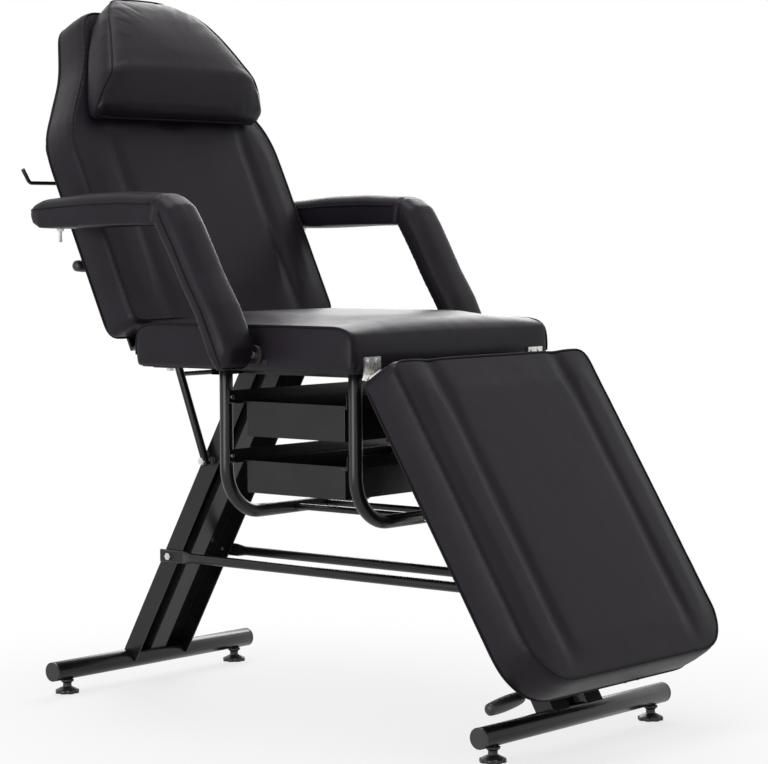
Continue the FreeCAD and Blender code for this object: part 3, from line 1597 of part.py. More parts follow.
# The whole chair
def build_chair():
    build_foot_bar("rear_foot_bar", 0)
    build_foot_bar("front_foot_bar", size("bar_spacing"))
    build_end_caps()
    feet = ("rear_right_foot", "rear_left_foot", "front_right_foot", "front_left_foot")
    for label, (x, y) in zip(feet, foot_places()):
        build_levelling_foot(label, x, y)
    build_leg("rear_leg", 0, 0)
    build_leg("front_leg", size("bar_spacing"), 180)
    build_tie_rods()
    build_seat_frame()
    build_tray_frame("rear_tray_frame", size("rear_frame_x"))
    build_tray_frame("front_tray_frame", size("front_frame_x"))
    build_braces()
    frame_bolts = tie_bolt_places() + cross_bolt_places() + brace_bolt_places()
    node(bolts("bolt", frame_bolts + bracket_bolt_places()), "frame_bolts")
    build_tray_rails("upper_tray_rails", size("upper_tray_top"))
    build_tray_rails("lower_tray_rails", size("lower_tray_top"))
    tray_screws = rail_screw_places(size("upper_tray_top"))
    tray_screws += rail_screw_places(size("lower_tray_top"))
    node(bolts("screw", tray_screws + seat_leaf_screws()), "tray_rail_screws")
    build_tray("upper_tray", "upper_tray_top", "upper_tray_depth")
    build_tray("lower_tray", "lower_tray_top", "lower_tray_depth")
    build_seat()
    build_back()
    build_notched_rails("back_rails", size("back_bar_height"), "notch_rail_tail", BACK)
    build_straps()
    build_hinge_brackets()
    build_rest()
    build_rest_hinges()
    build_notched_rails("leg_rest_rails", -size("rest_bar_drop"), "notch_rail_tail_rest", REST)
    back_pivot = Vector(size("back_strut_x"), 0, size("strut_pivot_z"))
    rest_pivot = Vector(size("rest_strut_x"), 0, size("strut_pivot_z"))
    back_bar = bar_centre(BACK_LOCAL, size("back_bar_height"))
    rest_bar = bar_centre(REST_LOCAL, -size("rest_bar_drop"))
    build_strut("back_strut", back_pivot, back_bar, BACK_BRACE_SHARE)
    build_strut("leg_rest_strut", rest_pivot, rest_bar, REST_BRACE_SHARE)
    build_strut_bolts()
    build_release_bar("back_release_bar", "back_release_grips", back_bar,
                      size("back_bar_half_length"), 0, 0, SIDES)
    build_release_bar("leg_rest_release_bar", "leg_rest_release_grips", rest_bar,
                      size("rest_bar_half_length"), size("rest_bar_bend_y"),
                      size("rest_bar_fall"), SIDES[:1])
    build_armrest("right", -1)
    build_armrest("left", 1)
    build_arm_mounts()
    build_pillow()
    build_rod()


def check_document():
    """Stops where a feature failed or a sub-part has no sound shape."""
    for item in doc.Objects:
        if "Invalid" in item.State or "Error" in item.State:
            raise RuntimeError(f"{item.Name} ({item.Label}) failed: {item.State}")
    for label, item in NODES.items():
        if item.Shape.isNull() or not item.Shape.isValid():
            raise RuntimeError(f"{label} has no sound shape")


def export_nodes():
    os.makedirs("parts", exist_ok=True)
    whole = FreeCAD.BoundBox()
    for label, item in NODES.items():
        item.Shape.exportStep(f"parts/{label}.step")
        whole.add(item.Shape.BoundBox)
        print(f"{label}: {len(item.Shape.Solids)} solids, {item.Shape.Volume / 1000:.1f} cm3")
    print(f"{len(NODES)} nodes, box {whole}")


build_chair()
doc.recompute()
check_document()
export_nodes()
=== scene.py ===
import json
import logging
import math
from dataclasses import dataclass
from enum import Enum
from typing import Callable, Iterable, Sequence

import bmesh
import bpy
import numpy as np
from bpy.types import Material, Modifier, Node, NodeSocket, Object, World
from mathutils import Matrix, Vector, noise
from mathutils.bvhtree import BVHTree
from mathutils.kdtree import KDTree

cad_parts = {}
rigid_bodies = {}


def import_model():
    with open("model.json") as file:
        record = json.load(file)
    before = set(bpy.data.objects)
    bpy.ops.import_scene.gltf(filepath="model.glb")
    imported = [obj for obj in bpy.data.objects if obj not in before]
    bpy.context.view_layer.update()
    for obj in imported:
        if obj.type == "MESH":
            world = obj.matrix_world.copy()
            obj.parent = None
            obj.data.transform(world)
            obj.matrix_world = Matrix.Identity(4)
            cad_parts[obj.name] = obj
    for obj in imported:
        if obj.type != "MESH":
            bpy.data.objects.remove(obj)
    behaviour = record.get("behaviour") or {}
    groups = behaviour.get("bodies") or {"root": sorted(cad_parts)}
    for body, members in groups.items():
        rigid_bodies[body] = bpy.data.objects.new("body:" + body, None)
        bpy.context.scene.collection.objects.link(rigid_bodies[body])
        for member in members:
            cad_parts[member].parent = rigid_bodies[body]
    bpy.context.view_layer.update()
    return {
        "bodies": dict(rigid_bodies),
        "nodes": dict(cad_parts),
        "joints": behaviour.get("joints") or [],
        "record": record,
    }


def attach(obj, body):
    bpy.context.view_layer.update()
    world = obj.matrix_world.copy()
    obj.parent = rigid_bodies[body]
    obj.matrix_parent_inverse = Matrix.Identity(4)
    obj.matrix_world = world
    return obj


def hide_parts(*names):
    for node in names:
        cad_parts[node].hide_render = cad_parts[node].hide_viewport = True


LOG = logging.getLogger("chair")

MILLIMETRE = 0.001
UP = Vector((0, 0, 1))
SIDES = (-1, 1)
REAR_BAR_X = -0.54715
BASE_STEPS = 6
CROWN_STEPS = 32
SEAM_STEP = 0.004
COLOUR_STOPS = (0.3, 0.7)

Colour = tuple[float, float, float]
Corner = tuple[float, float, float]
Form = tuple[list[Vector], list[list[int]]]


class Slot(Enum):
    """The record's material slots."""

    LEATHER = "leather"
    POWDER_COAT = "powder_coat"
    BACKING = "backing"
    ZINC = "zinc"
    BRASS = "brass_screw"
    PLASTIC = "black_plastic"


class Side(Enum):
    """The sitter's right and left."""

    RIGHT = -1
    LEFT = 1


# Settings and node trees
def settle(target: object, **values: object) -> None:
    """Sets several properties of one thing."""
    for key, value in values.items():
        setattr(target, key, value)


def changed(item: Object, name: str, kind: str, **values: object) -> Modifier:
    """Adds a modifier with its settings.

    Args:
        item: The object that it changes.
        name: The modifier's name.
        kind: Blender's name for the modifier type.
        **values: Its settings.

    Returns:
        The modifier.
    """
    change = item.modifiers.new(name, kind)
    settle(change, **values)
    return change


@dataclass
class Graph:
    """The node tree of a material or of the world, built a node at a time."""

    owner: Material | World

    def __post_init__(self) -> None:
        """Starts with an empty tree."""
        self.owner.use_nodes = True
        self.owner.node_tree.nodes.clear()

    def add(self, kind: str, **values: object) -> Node:
        """Adds a node and sets its properties.

        Args:
            kind: Blender's name for the node type.
            **values: Properties of the node.

        Returns:
            The new node.
        """
        node = self.owner.node_tree.nodes.new(kind)
        settle(node, **values)
        return node

    def link(self, source: NodeSocket, target: NodeSocket) -> None:
        """Joins an output to an input."""
        self.owner.node_tree.links.new(source, target)

    def feed(self, node: Node, **values: object) -> Node:
        """Sets a node's inputs to numbers or links them to sockets.

        Args:
            node: The node to feed.
            **values: Input names, with underscores for spaces, and their values.

        Returns:
            The same node.
        """
        for key, value in values.items():
            socket = node.inputs[key.replace("_", " ")]
            if isinstance(value, NodeSocket):
                self.link(value, socket)
            else:
                socket.default_value = value
        return node

    def math(self, operation: str, first: NodeSocket,
             second: NodeSocket) -> NodeSocket:
        """Combines two grey values.

        Args:
            operation: Blender's name for the sum.
            first: One value.
            second: The other.

        Returns:
            The result.
        """
        node = self.add("ShaderNodeMath", operation=operation)
        self.link(first, node.inputs[0])
        self.link(second, node.inputs[1])
        return node.outputs[0]

    def mixed(self, share: NodeSocket, first: Node,
              second: Node) -> Node:
        """Mixes two shaders.

        Args:
            share: How much of the second shows.
            first: The shader at 0.
            second: The shader at 1.

        Returns:
            The mixed shader.
        """
        node = self.add("ShaderNodeMixShader")
        self.link(share, node.inputs["Fac"])
        self.link(first.outputs[0], node.inputs[1])
        self.link(second.outputs[0], node.inputs[2])
        return node

    def shown(self) -> NodeSocket:
        """Returns 1 for what is seen directly, mirrored or through glass."""
        rays = self.add("ShaderNodeLightPath").outputs
        mirrored = self.math("MAXIMUM", rays["Is Glossy Ray"], rays["Is Transmission Ray"])
        return self.math("MAXIMUM", rays["Is Camera Ray"], mirrored)

    def place(self) -> NodeSocket:
        """Returns the surface's own coordinates, in metres."""
        return self.add("ShaderNodeTexCoord").outputs["Object"]

    def noise(self, scale: float, detail: float, rough: float = 0.5) -> NodeSocket:
        """Adds a noise texture.

        Args:
            scale: Cells to the metre.
            detail: Octaves of finer noise.
            rough: How strong the finer octaves are.

        Returns:
            Its grey output.
        """
        return self.feed(self.add("ShaderNodeTexNoise"), Vector=self.place(), Scale=scale,
                         Detail=detail, Roughness=rough).outputs["Fac"]

    def cells(self, scale: float) -> NodeSocket:
        """Adds a cell texture for leather pebbles or moulded grain.

        Args:
            scale: Cells to the metre.

        Returns:
            The distance to the nearest cell wall.
        """
        texture = self.add("ShaderNodeTexVoronoi", feature="DISTANCE_TO_EDGE")
        self.feed(texture, Vector=self.place(), Scale=scale)
        return texture.outputs["Distance"]

    def span(self, value: NodeSocket, low: float, high: float) -> NodeSocket:
        """Maps a grey texture to a range of numbers.

        Args:
            value: A socket that runs from 0 to 1.
            low: The number at 0.
            high: The number at 1.

        Returns:
            The mapped socket.
        """
        return self.feed(self.add("ShaderNodeMapRange"), Value=value, To_Min=low,
                         To_Max=high).outputs["Result"]

    def tint(self, value: NodeSocket, dark: Sequence[float],
             light: Sequence[float]) -> NodeSocket:
        """Mixes two colours by a grey texture.

        Args:
            value: A socket that runs from 0 to 1.
            dark: The colour at low values.
            light: The colour at high values.

        Returns:
            The mixed colour.
        """
        band = self.add("ShaderNodeValToRGB")
        for stop, place, colour in zip(band.color_ramp.elements, COLOUR_STOPS, (dark, light)):
            settle(stop, position=place, color=(*colour, 1))
        return self.feed(band, Fac=value).outputs["Color"]

    def bump(self, height: NodeSocket, depth: float, strength: float,
             under: NodeSocket | None = None) -> NodeSocket:
        """Adds a relief to the surface.

        Args:
            height: The relief's grey texture.
            depth: Its depth in metres.
            strength: Its share, from 0 to 1.
            under: A relief below this one.

        Returns:
            The changed normal.
        """
        relief = self.add("ShaderNodeBump")
        self.feed(relief, Height=height, Distance=depth, Strength=strength)
        if under is not None:
            self.feed(relief, Normal=under)
        return relief.outputs["Normal"]

    def close(self, shader: Node,
              kind: str = "ShaderNodeOutputMaterial") -> Material | World:
        """Joins the last shader to the output.

        Args:
            shader: The last shader.
            kind: Blender's name for the output.

        Returns:
            The material or the world.
        """
        self.feed(self.add(kind), Surface=shader.outputs[0])
        return self.owner


# Finishes
@dataclass(frozen=True)
class Finish:
    """A surface with two close colours and a range of roughness."""

    name: str
    dark: Colour
    light: Colour
    rough_low: float = 0.34
    rough_high: float = 0.48

    def graph(self) -> Graph:
        """Returns an empty tree in a new material."""
        return Graph(bpy.data.materials.new(self.name))

    def closed(self, graph: Graph, stains: NodeSocket, wear: NodeSocket,
               **values: object) -> Material:
        """Closes a material with a plain shader.

        Args:
            graph: The material's tree.
            stains: The grey texture of its colour.
            wear: The grey texture of its roughness.
            **values: The shader's other inputs.

        Returns:
            The material.
        """
        shader = graph.add("ShaderNodeBsdfPrincipled")
        graph.feed(shader, Base_Color=graph.tint(stains, self.dark, self.light),
                   Roughness=graph.span(wear, self.rough_low, self.rough_high), **values)
        return graph.close(shader)


@dataclass(frozen=True)
class Leather(Finish):
    """Coated black upholstery leather with a fine pebble grain and soft creases."""

    name: str = "black_leather"
    dark: Colour = (0.0096, 0.0068, 0.0110)
    light: Colour = (0.0146, 0.0108, 0.0164)
    rough_low: float = 0.36
    rough_high: float = 0.47
    pebble_scale: float = 950
    crease_scale: float = 34
    reflection: float = 0.15

    def build(self) -> Material:
        """Returns the material."""
        graph = self.graph()
        creases = graph.noise(self.crease_scale, 5, 0.62)
        soft = graph.bump(creases, 0.0012, 0.35)
        grain = graph.bump(graph.cells(self.pebble_scale), 0.00012, 0.5, soft)
        return self.closed(graph, graph.noise(7, 3), creases, Normal=grain,
                           Specular_IOR_Level=self.reflection)


@dataclass(frozen=True)
class PowderCoat(Finish):
    """Black semi-gloss powder coat with a fine orange peel."""

    name: str = "powder_coat"
    dark: Colour = (0.0040, 0.0036, 0.0042)
    light: Colour = (0.0080, 0.0073, 0.0083)
    rough_low: float = 0.20
    rough_high: float = 0.32
    peel_scale: float = 620
    reflection: float = 0.36

    def build(self) -> Material:
        """Returns the material."""
        graph = self.graph()
        clouds = graph.noise(18, 3)
        peel = graph.bump(graph.noise(self.peel_scale, 2), 0.0002, 0.16)
        return self.closed(graph, clouds, clouds, Normal=peel,
                           Specular_IOR_Level=self.reflection)


@dataclass(frozen=True)
class Plated(Finish):
    """Bright plated steel or brass with fine tool marks."""

    rough_low: float = 0.20
    rough_high: float = 0.38
    mark_scale: float = 1400

    def build(self) -> Material:
        """Returns the material."""
        graph = self.graph()
        clouds = graph.noise(160, 4)
        marks = graph.bump(graph.noise(self.mark_scale, 3), 0.00008, 0.3)
        return self.closed(graph, clouds, clouds, Normal=marks, Metallic=1.0)


@dataclass(frozen=True)
class Moulded(Finish):
    """Black moulded plastic with a fine spark-eroded grain."""

    name: str = "black_plastic"
    dark: Colour = (0.010, 0.010, 0.0105)
    light: Colour = (0.016, 0.016, 0.0168)
    grain_scale: float = 1500

    def build(self) -> Material:
        """Returns the material."""
        graph = self.graph()
        clouds = graph.noise(40, 3)
        grain = graph.bump(graph.cells(self.grain_scale), 0.00008, 0.4)
        return self.closed(graph, clouds, clouds, Normal=grain)


@dataclass(frozen=True)
class LiningCloth(Finish):
    """Black lining cloth stapled over a board, with a plain weave."""

    name: str = "lining_cloth"
    dark: Colour = (0.008, 0.008, 0.0085)
    light: Colour = (0.017, 0.017, 0.018)
    roughness: float = 0.82
    yarn_scale: float = 420

    def build(self) -> Material:
        """Returns the material."""
        graph = self.graph()
        waves = [graph.feed(graph.add("ShaderNodeTexWave", bands_direction=way),
                            Vector=graph.place(), Scale=self.yarn_scale, Distortion=0.6)
                 for way in "YZ"]
        weave = graph.math("MULTIPLY", *(wave.outputs["Fac"] for wave in waves))
        shader = graph.add("ShaderNodeBsdfPrincipled")
        graph.feed(shader, Base_Color=graph.tint(graph.noise(60, 4), self.dark, self.light),
                   Roughness=self.roughness, Normal=graph.bump(weave, 0.0003, 0.5),
                   Sheen_Weight=0.15, Specular_IOR_Level=0.3)
        return graph.close(shader)


@dataclass(frozen=True)
class Palette:
    """The finishes of the whole chair, one to each slot and one for the piping."""

    leather: Material
    powder_coat: Material
    backing: Material
    zinc: Material
    brass: Material
    plastic: Material
    piping: Material

    @classmethod
    def mix(cls) -> "Palette":
        """Returns the palette with every material built."""
        return cls(
            leather=Leather().build(),
            powder_coat=PowderCoat().build(),
            backing=LiningCloth().build(),
            zinc=Plated("bright_zinc", (0.50, 0.50, 0.49), (0.74, 0.74, 0.72)).build(),
            brass=Plated("yellow_screw", (0.52, 0.36, 0.12), (0.80, 0.60, 0.26)).build(),
            plastic=Moulded().build(),
            piping=Leather(name="piping_leather", dark=(0.0060, 0.0052, 0.0064),
                           light=(0.0090, 0.0080, 0.0096), pebble_scale=1300, crease_scale=90,
                           rough_low=0.55, rough_high=0.65, reflection=0.12).build(),
        )

    def of(self, slot: Slot) -> Material:
        """Returns the finish of a material slot."""
        return {
            Slot.LEATHER: self.leather, Slot.POWDER_COAT: self.powder_coat,
            Slot.BACKING: self.backing, Slot.ZINC: self.zinc, Slot.BRASS: self.brass,
            Slot.PLASTIC: self.plastic,
        }[slot]


# Places
@dataclass(frozen=True)
class Panel:
    """A leaning panel's own frame: depth from its back face, across, and up its length."""

    x: float
    z: float
    lean: float

    @property
    def matrix(self) -> Matrix:
        """The panel's frame as a matrix: columns are depth, across, up and the origin."""
        cos, sin = math.cos(math.radians(self.lean)), math.sin(math.radians(self.lean))
        return Matrix(((cos, 0, -sin, self.x), (0, 1, 0, 0), (sin, 0, cos, self.z), (0, 0, 0, 1)))

    @property
    def outward(self) -> Vector:
        """The way out of the panel's front face."""
        return self.at(1, 0, 0) - self.at(0, 0, 0)

    def at(self, depth: float, across: float, up: float) -> Vector:
        """Returns a point of the panel in the chair's frame."""
        return self.matrix @ Vector((depth, across, up))

    def local(self, points: np.ndarray) -> np.ndarray:
        """Returns points of the chair's frame in the panel's own frame."""
        inverse = np.array(self.matrix.inverted(), float)
        return points @ inverse[:3, :3].T + inverse[:3, 3]

    def placed(self, points: np.ndarray) -> np.ndarray:
        """Returns points of the panel's own frame in the chair's frame."""
        matrix = np.array(self.matrix, float)
        return points @ matrix[:3, :3].T + matrix[:3, 3]


SEAT = Panel(0.0, 0.656, 90)
BACK = Panel(REAR_BAR_X + 0.177, 0.703, 25.4)
REST = Panel(REAR_BAR_X + 0.8055, 0.645, 31.8)


# Mesh tools
def mesh_object(name: str, points: Sequence[Sequence[float]],
                faces: Sequence[Sequence[int]]) -> Object:
    """Makes an object from points and faces.

    Args:
        name: The piece's name.
        points: Corners in the chair's frame, in metres.
        faces: Lists of corner numbers.

    Returns:
        The new object, shaded smooth.
    """
    mesh = bpy.data.meshes.new(name)
    mesh.from_pydata([tuple(p) for p in points], [], [tuple(f) for f in faces])
    body = bmesh.new()
    body.from_mesh(mesh)
    bmesh.ops.recalc_face_normals(body, faces=body.faces)
    body.to_mesh(mesh)
    body.free()
    for face in mesh.polygons:
        face.use_smooth = True
    item = bpy.data.objects.new(name, mesh)
    bpy.context.scene.collection.objects.link(item)
    return item


def coordinates(item: Object) -> np.ndarray:
    """Returns an object's mesh points as an array."""
    points = np.empty(len(item.data.vertices) * 3, np.float32)
    item.data.vertices.foreach_get("co", points)
    return points.reshape(-1, 3).astype(float)


def move_points(item: Object, points: np.ndarray) -> None:
    """Writes an array of points back into an object's mesh."""
    item.data.vertices.foreach_set("co", points.astype(np.float32).ravel())
    item.data.update()


def applied(item: Object) -> Object:
    """Replaces an object's mesh by what its modifiers make of it."""
    graph = bpy.context.evaluated_depsgraph_get()
    made = bpy.data.meshes.new_from_object(item.evaluated_get(graph))
    item.modifiers.clear()
    item.data = made
    return item


def smooth(item: Object, material: Material) -> Object:
    """Gives a piece one material and smooth shading."""
    item.data.materials.clear()
    item.data.materials.append(material)
    for face in item.data.polygons:
        face.use_smooth = True
    return item


def loft(rings: Sequence[Sequence[Vector]]) -> Form:
    """Joins rings of the same number of points into a closed form with end caps.

    Args:
        rings: The rings, from one end to the other.

    Returns:
        Points and faces.
    """
    count = len(rings[0])
    points = [point for ring in rings for point in ring]
    faces = []
    for low in range(len(rings) - 1):
        for i in range(count):
            j = (i + 1) % count
            a, b = low * count, (low + 1) * count
            faces.append([a + i, a + j, b + j, b + i])
    faces.append(list(range(count))[::-1])
    faces.append([len(points) - count + i for i in range(count)])
    return points, faces


def circle(centre: Vector, beside: Vector, over: Vector, radius: float,
           sides: int) -> list[Vector]:
    """Returns evenly spaced points round a centre.

    Args:
        centre: The middle of the circle.
        beside: The way to its first point.
        over: The way to the point a quarter round.
        radius: Its radius.
        sides: How many points it has.

    Returns:
        The points.
    """
    turns = [2 * math.pi * k / sides for k in range(sides)]
    return [centre + (beside * math.cos(turn) + over * math.sin(turn)) * radius
            for turn in turns]


def tube(name: str, path: Sequence[Vector], radius: float, closed: bool = False,
         sides: int = 8) -> Object:
    """Sweeps a round bead along a path.

    Args:
        name: The piece's name.
        path: The points that it follows.
        radius: The bead's radius.
        closed: Whether the path joins its own start.
        sides: Corners of the bead's section.

    Returns:
        The bead.
    """
    count = len(path)
    points, faces = [], []
    reference = UP
    for i, point in enumerate(path):
        before = path[i - 1] if closed or i else point
        after = path[(i + 1) % count] if closed or i + 1 < count else point
        along = (after - before).normalized()
        beside = along.cross(reference)
        if beside.length < 1e-4:
            beside = along.cross(Vector((1, 0, 0)))
        beside.normalize()
        over = beside.cross(along)
        reference = over
        points += circle(point, beside, over, radius, sides)
    for i in range(count if closed else count - 1):
        a, b = i * sides, ((i + 1) % count) * sides
        for k in range(sides):
            j = (k + 1) % sides
            faces.append([a + k, a + j, b + j, b + k])
    if not closed:
        faces.append(list(range(sides))[::-1])
        faces.append([(count - 1) * sides + k for k in range(sides)])
    return mesh_object(name, points, faces)


def lathe(profile: Sequence[tuple[float, float]], start: Vector, along: Vector,
          sides: int = 28) -> Form:
    """Turns a profile round an axis.

    Args:
        profile: Distances along the axis and radii.
        start: Where the axis begins.
        along: Which way it points.
        sides: Corners round the form.

    Returns:
        Points and faces of the closed form.
    """
    axis = along.normalized()
    beside = axis.orthogonal().normalized()
    over = axis.cross(beside)
    return loft([circle(start + axis * distance, beside, over, radius, sides)
                 for distance, radius in profile])


def joined(name: str, parts: Iterable[Form]) -> Object:
    """Makes one object of several closed forms.

    Args:
        name: The piece's name.
        parts: Points and faces of each form.

    Returns:
        The object.
    """
    points: list[Vector] = []
    faces: list[list[int]] = []
    for more_points, more_faces in parts:
        shift = len(points)
        points.extend(more_points)
        faces.extend([[shift + i for i in face] for face in more_faces])
    return mesh_object(name, points, faces)


def resampled(path: Sequence[Vector], step: float, closed: bool = True) -> list[Vector]:
    """Spaces points evenly along a path.

    Args:
        path: The corners of the path.
        step: The wanted distance between points.
        closed: Whether the path joins its own start.

    Returns:
        The new points.
    """
    stops = list(path) + ([path[0]] if closed else [])
    lengths = [(b - a).length for a, b in zip(stops, stops[1:])]
    total = sum(lengths)
    count = max(8, round(total / step))
    made = []
    run, i = 0.0, 0
    for k in range(count if closed else count + 1):
        target = total * k / count
        while i < len(lengths) - 1 and run + lengths[i] < target:
            run += lengths[i]
            i += 1
        share = (target - run) / lengths[i] if lengths[i] > 1e-9 else 0
        made.append(stops[i].lerp(stops[i + 1], min(1, share)))
    return made


def snapped(path: Sequence[Vector], skin: Object, lift: float) -> list[Vector]:
    """Lays a path on a cushion's surface.

    Args:
        path: The points near the surface.
        skin: The cushion.
        lift: How far above the surface the path runs.

    Returns:
        The points on the surface.
    """
    tree = BVHTree.FromObject(skin, bpy.context.evaluated_depsgraph_get())
    made = []
    for point in path:
        found, normal, _, _ = tree.find_nearest(point)
        made.append(found + normal * lift)
    for _ in range(2):
        count = len(made)
        made = [(made[i - 1] + made[i] * 2 + made[(i + 1) % count]) / 4 for i in range(count)]
    return made


# Outlines
def outline(corners: Sequence[Corner], inset: float, steps: int = 8) -> list[tuple[float, float]]:
    """Rounds a loop of corners and moves it inward.

    Args:
        corners: Across, up and radius of each corner, anticlockwise.
        inset: How far inward the loop lies.
        steps: Points on each rounded corner.

    Returns:
        The loop's points.
    """
    points = [Vector((x, y)) for x, y, _ in corners]
    count = len(points)
    runs = [(points[(i + 1) % count] - points[i]).normalized() for i in range(count)]
    moved, radii = [], []
    for i in range(count):
        came, left = runs[i - 1], runs[i]
        bulge = came.x * left.y - came.y * left.x
        inward = (Vector((-came.y, came.x)) + Vector((-left.y, left.x))).normalized()
        moved.append(points[i] + inward * inset / math.cos(came.angle(left) / 2))
        radius = corners[i][2]
        radii.append(max(radius - math.copysign(inset, bulge), radius * 0.15))
    made = []
    for i in range(count):
        came = (moved[i] - moved[i - 1]).normalized()
        left = (moved[(i + 1) % count] - moved[i]).normalized()
        half = came.angle(left) / 2
        inward = (left - came).normalized()
        centre = moved[i] + inward * radii[i] / math.cos(half)
        start = moved[i] - came * radii[i] * math.tan(half) - centre
        turn = math.copysign(2 * half, came.x * left.y - came.y * left.x)
        for k in range(steps + 1):
            angle = turn * k / steps
            cos, sin = math.cos(angle), math.sin(angle)
            made.append((centre.x + start.x * cos - start.y * sin,
                         centre.y + start.x * sin + start.y * cos))
    return made


# Padded pieces
@dataclass(frozen=True)
class Stuffing:
    """How a padded piece is swollen by simulated cloth."""

    voxel: float = 0.006
    pressure: float = 4.0
    cap: float = 0.024
    swell: float = 0.007
    frames: int = 20
    quality: int = 4
    mass: float = 0.3
    stretch: float = 12
    shear: float = 4
    bend: float = 0.4
    seam_share: float = 0.8


def evened(item: Object, size: float, rounds: int = 0) -> Object:
    """Remeshes a closed form into even cells.

    Args:
        item: The form.
        size: The cells' size.
        rounds: How often its ridges are rounded off afterwards.

    Returns:
        The remeshed form.
    """
    changed(item, "Even", "REMESH", mode="VOXEL", voxel_size=size, use_smooth_shade=True)
    item = applied(item)
    if not rounds:
        return item
    changed(item, "Ease", "SMOOTH", factor=0.5, iterations=rounds)
    return applied(item)


def stuffed(item: Object, stuffing: Stuffing,
            held: Callable[[np.ndarray], np.ndarray], seams: Sequence[Vector]) -> Object:
    """Swells a remeshed cushion between its seams as a pressed cloth skin.

    Args:
        item: The cushion, already remeshed.
        stuffing: How it is swollen.
        held: Says which points lie on a board and stay where they are.
        seams: Points along the seams, which stay where they are too.

    Returns:
        The cushion, with the swelling applied.
    """
    rest = coordinates(item)
    fixed = held(rest)
    if seams:
        tree = KDTree(len(seams))
        for i, point in enumerate(seams):
            tree.insert(point, i)
        tree.balance()
        reach = stuffing.voxel * stuffing.seam_share
        near = np.array([tree.find(Vector(p))[2] < reach for p in rest])
        fixed = fixed | near
    group = item.vertex_groups.new(name="held")
    group.add([int(i) for i in np.nonzero(fixed)[0]], 1.0, "REPLACE")
    cloth = changed(item, "Skin", "CLOTH")
    settle(cloth.settings, quality=stuffing.quality, mass=stuffing.mass,
           tension_stiffness=stuffing.stretch, compression_stiffness=stuffing.stretch,
           shear_stiffness=stuffing.shear, bending_stiffness=stuffing.bend,
           use_pressure=True, uniform_pressure_force=stuffing.pressure,
           vertex_group_mass="held")
    cloth.settings.effector_weights.gravity = 0
    cloth.collision_settings.use_collision = False
    settle(cloth.point_cache, frame_start=1, frame_end=stuffing.frames)
    scene = bpy.context.scene
    for frame in range(1, stuffing.frames + 1):
        scene.frame_set(frame)
    shown = item.evaluated_get(bpy.context.evaluated_depsgraph_get())
    swollen = coordinates(shown)
    item.modifiers.clear()
    item.vertex_groups.clear()
    scene.frame_set(1)
    shift = swollen - rest
    reach = np.linalg.norm(shift, axis=1)
    shift *= (np.minimum(reach, stuffing.cap) / np.maximum(reach, 1e-9))[:, None]
    most = np.linalg.norm(shift, axis=1).max()
    if most > 1e-6:
        shift *= stuffing.swell / most
    move_points(item, rest + shift)
    LOG.info("%s swelled by %.1f mm, from a free %.1f mm", item.name,
             stuffing.swell / MILLIMETRE, reach.max() / MILLIMETRE)
    return item


def bell(distance: np.ndarray, width: float) -> np.ndarray:
    """Returns 1 in the middle of a groove, falling softly to 0 beside it."""
    return np.exp(-(distance / width) ** 2)


def ramp(value: np.ndarray, low: float, high: float) -> np.ndarray:
    """Returns 0 below low and 1 above high, with a smooth way between."""
    share = np.clip((value - low) / (high - low), 0, 1)
    return share * share * (3 - 2 * share)


def rumpled(points: np.ndarray, scale: float, seed: float) -> np.ndarray:
    """Returns a soft unevenness between -1 and 1 for every point."""
    shift = Vector((seed, seed * 0.7, -seed))
    return np.array([noise.noise(Vector(p) * scale + shift) for p in points])


def covered(item: Object, leather: Material, body: str, nodes: Sequence[str]) -> Object:
    """Refines and covers a padded piece, and hides the CAD pieces that it replaces.

    Args:
        item: The shaped piece.
        leather: The cover's material.
        body: The body that it rides on.
        nodes: The CAD pieces that it replaces.

    Returns:
        The covered piece.
    """
    changed(item, "Fine", "SUBSURF", levels=1, render_levels=1)
    item = smooth(applied(item), leather)
    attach(item, body)
    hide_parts(*nodes)
    LOG.info("%s: %d points", item.name, len(item.data.vertices))
    return item


@dataclass
class Bead:
    """Leather piping sewn into a seam."""

    name: str
    path: Sequence[Vector]
    skin: Object
    radius: float = 0.0024
    step: float = 0.009
    closed: bool = True

    def build(self, palette: Palette, body: str) -> Object:
        """Lays the piping on the cushion's seam.

        Args:
            palette: The chair's finishes.
            body: The body that the cushion rides on.

        Returns:
            The piping.
        """
        run = snapped(resampled(self.path, self.step, self.closed), self.skin, self.radius * 0.35)
        if not self.closed:
            run = run[2:-2]
        item = smooth(tube(self.name, run, self.radius, self.closed), palette.piping)
        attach(item, body)
        return item


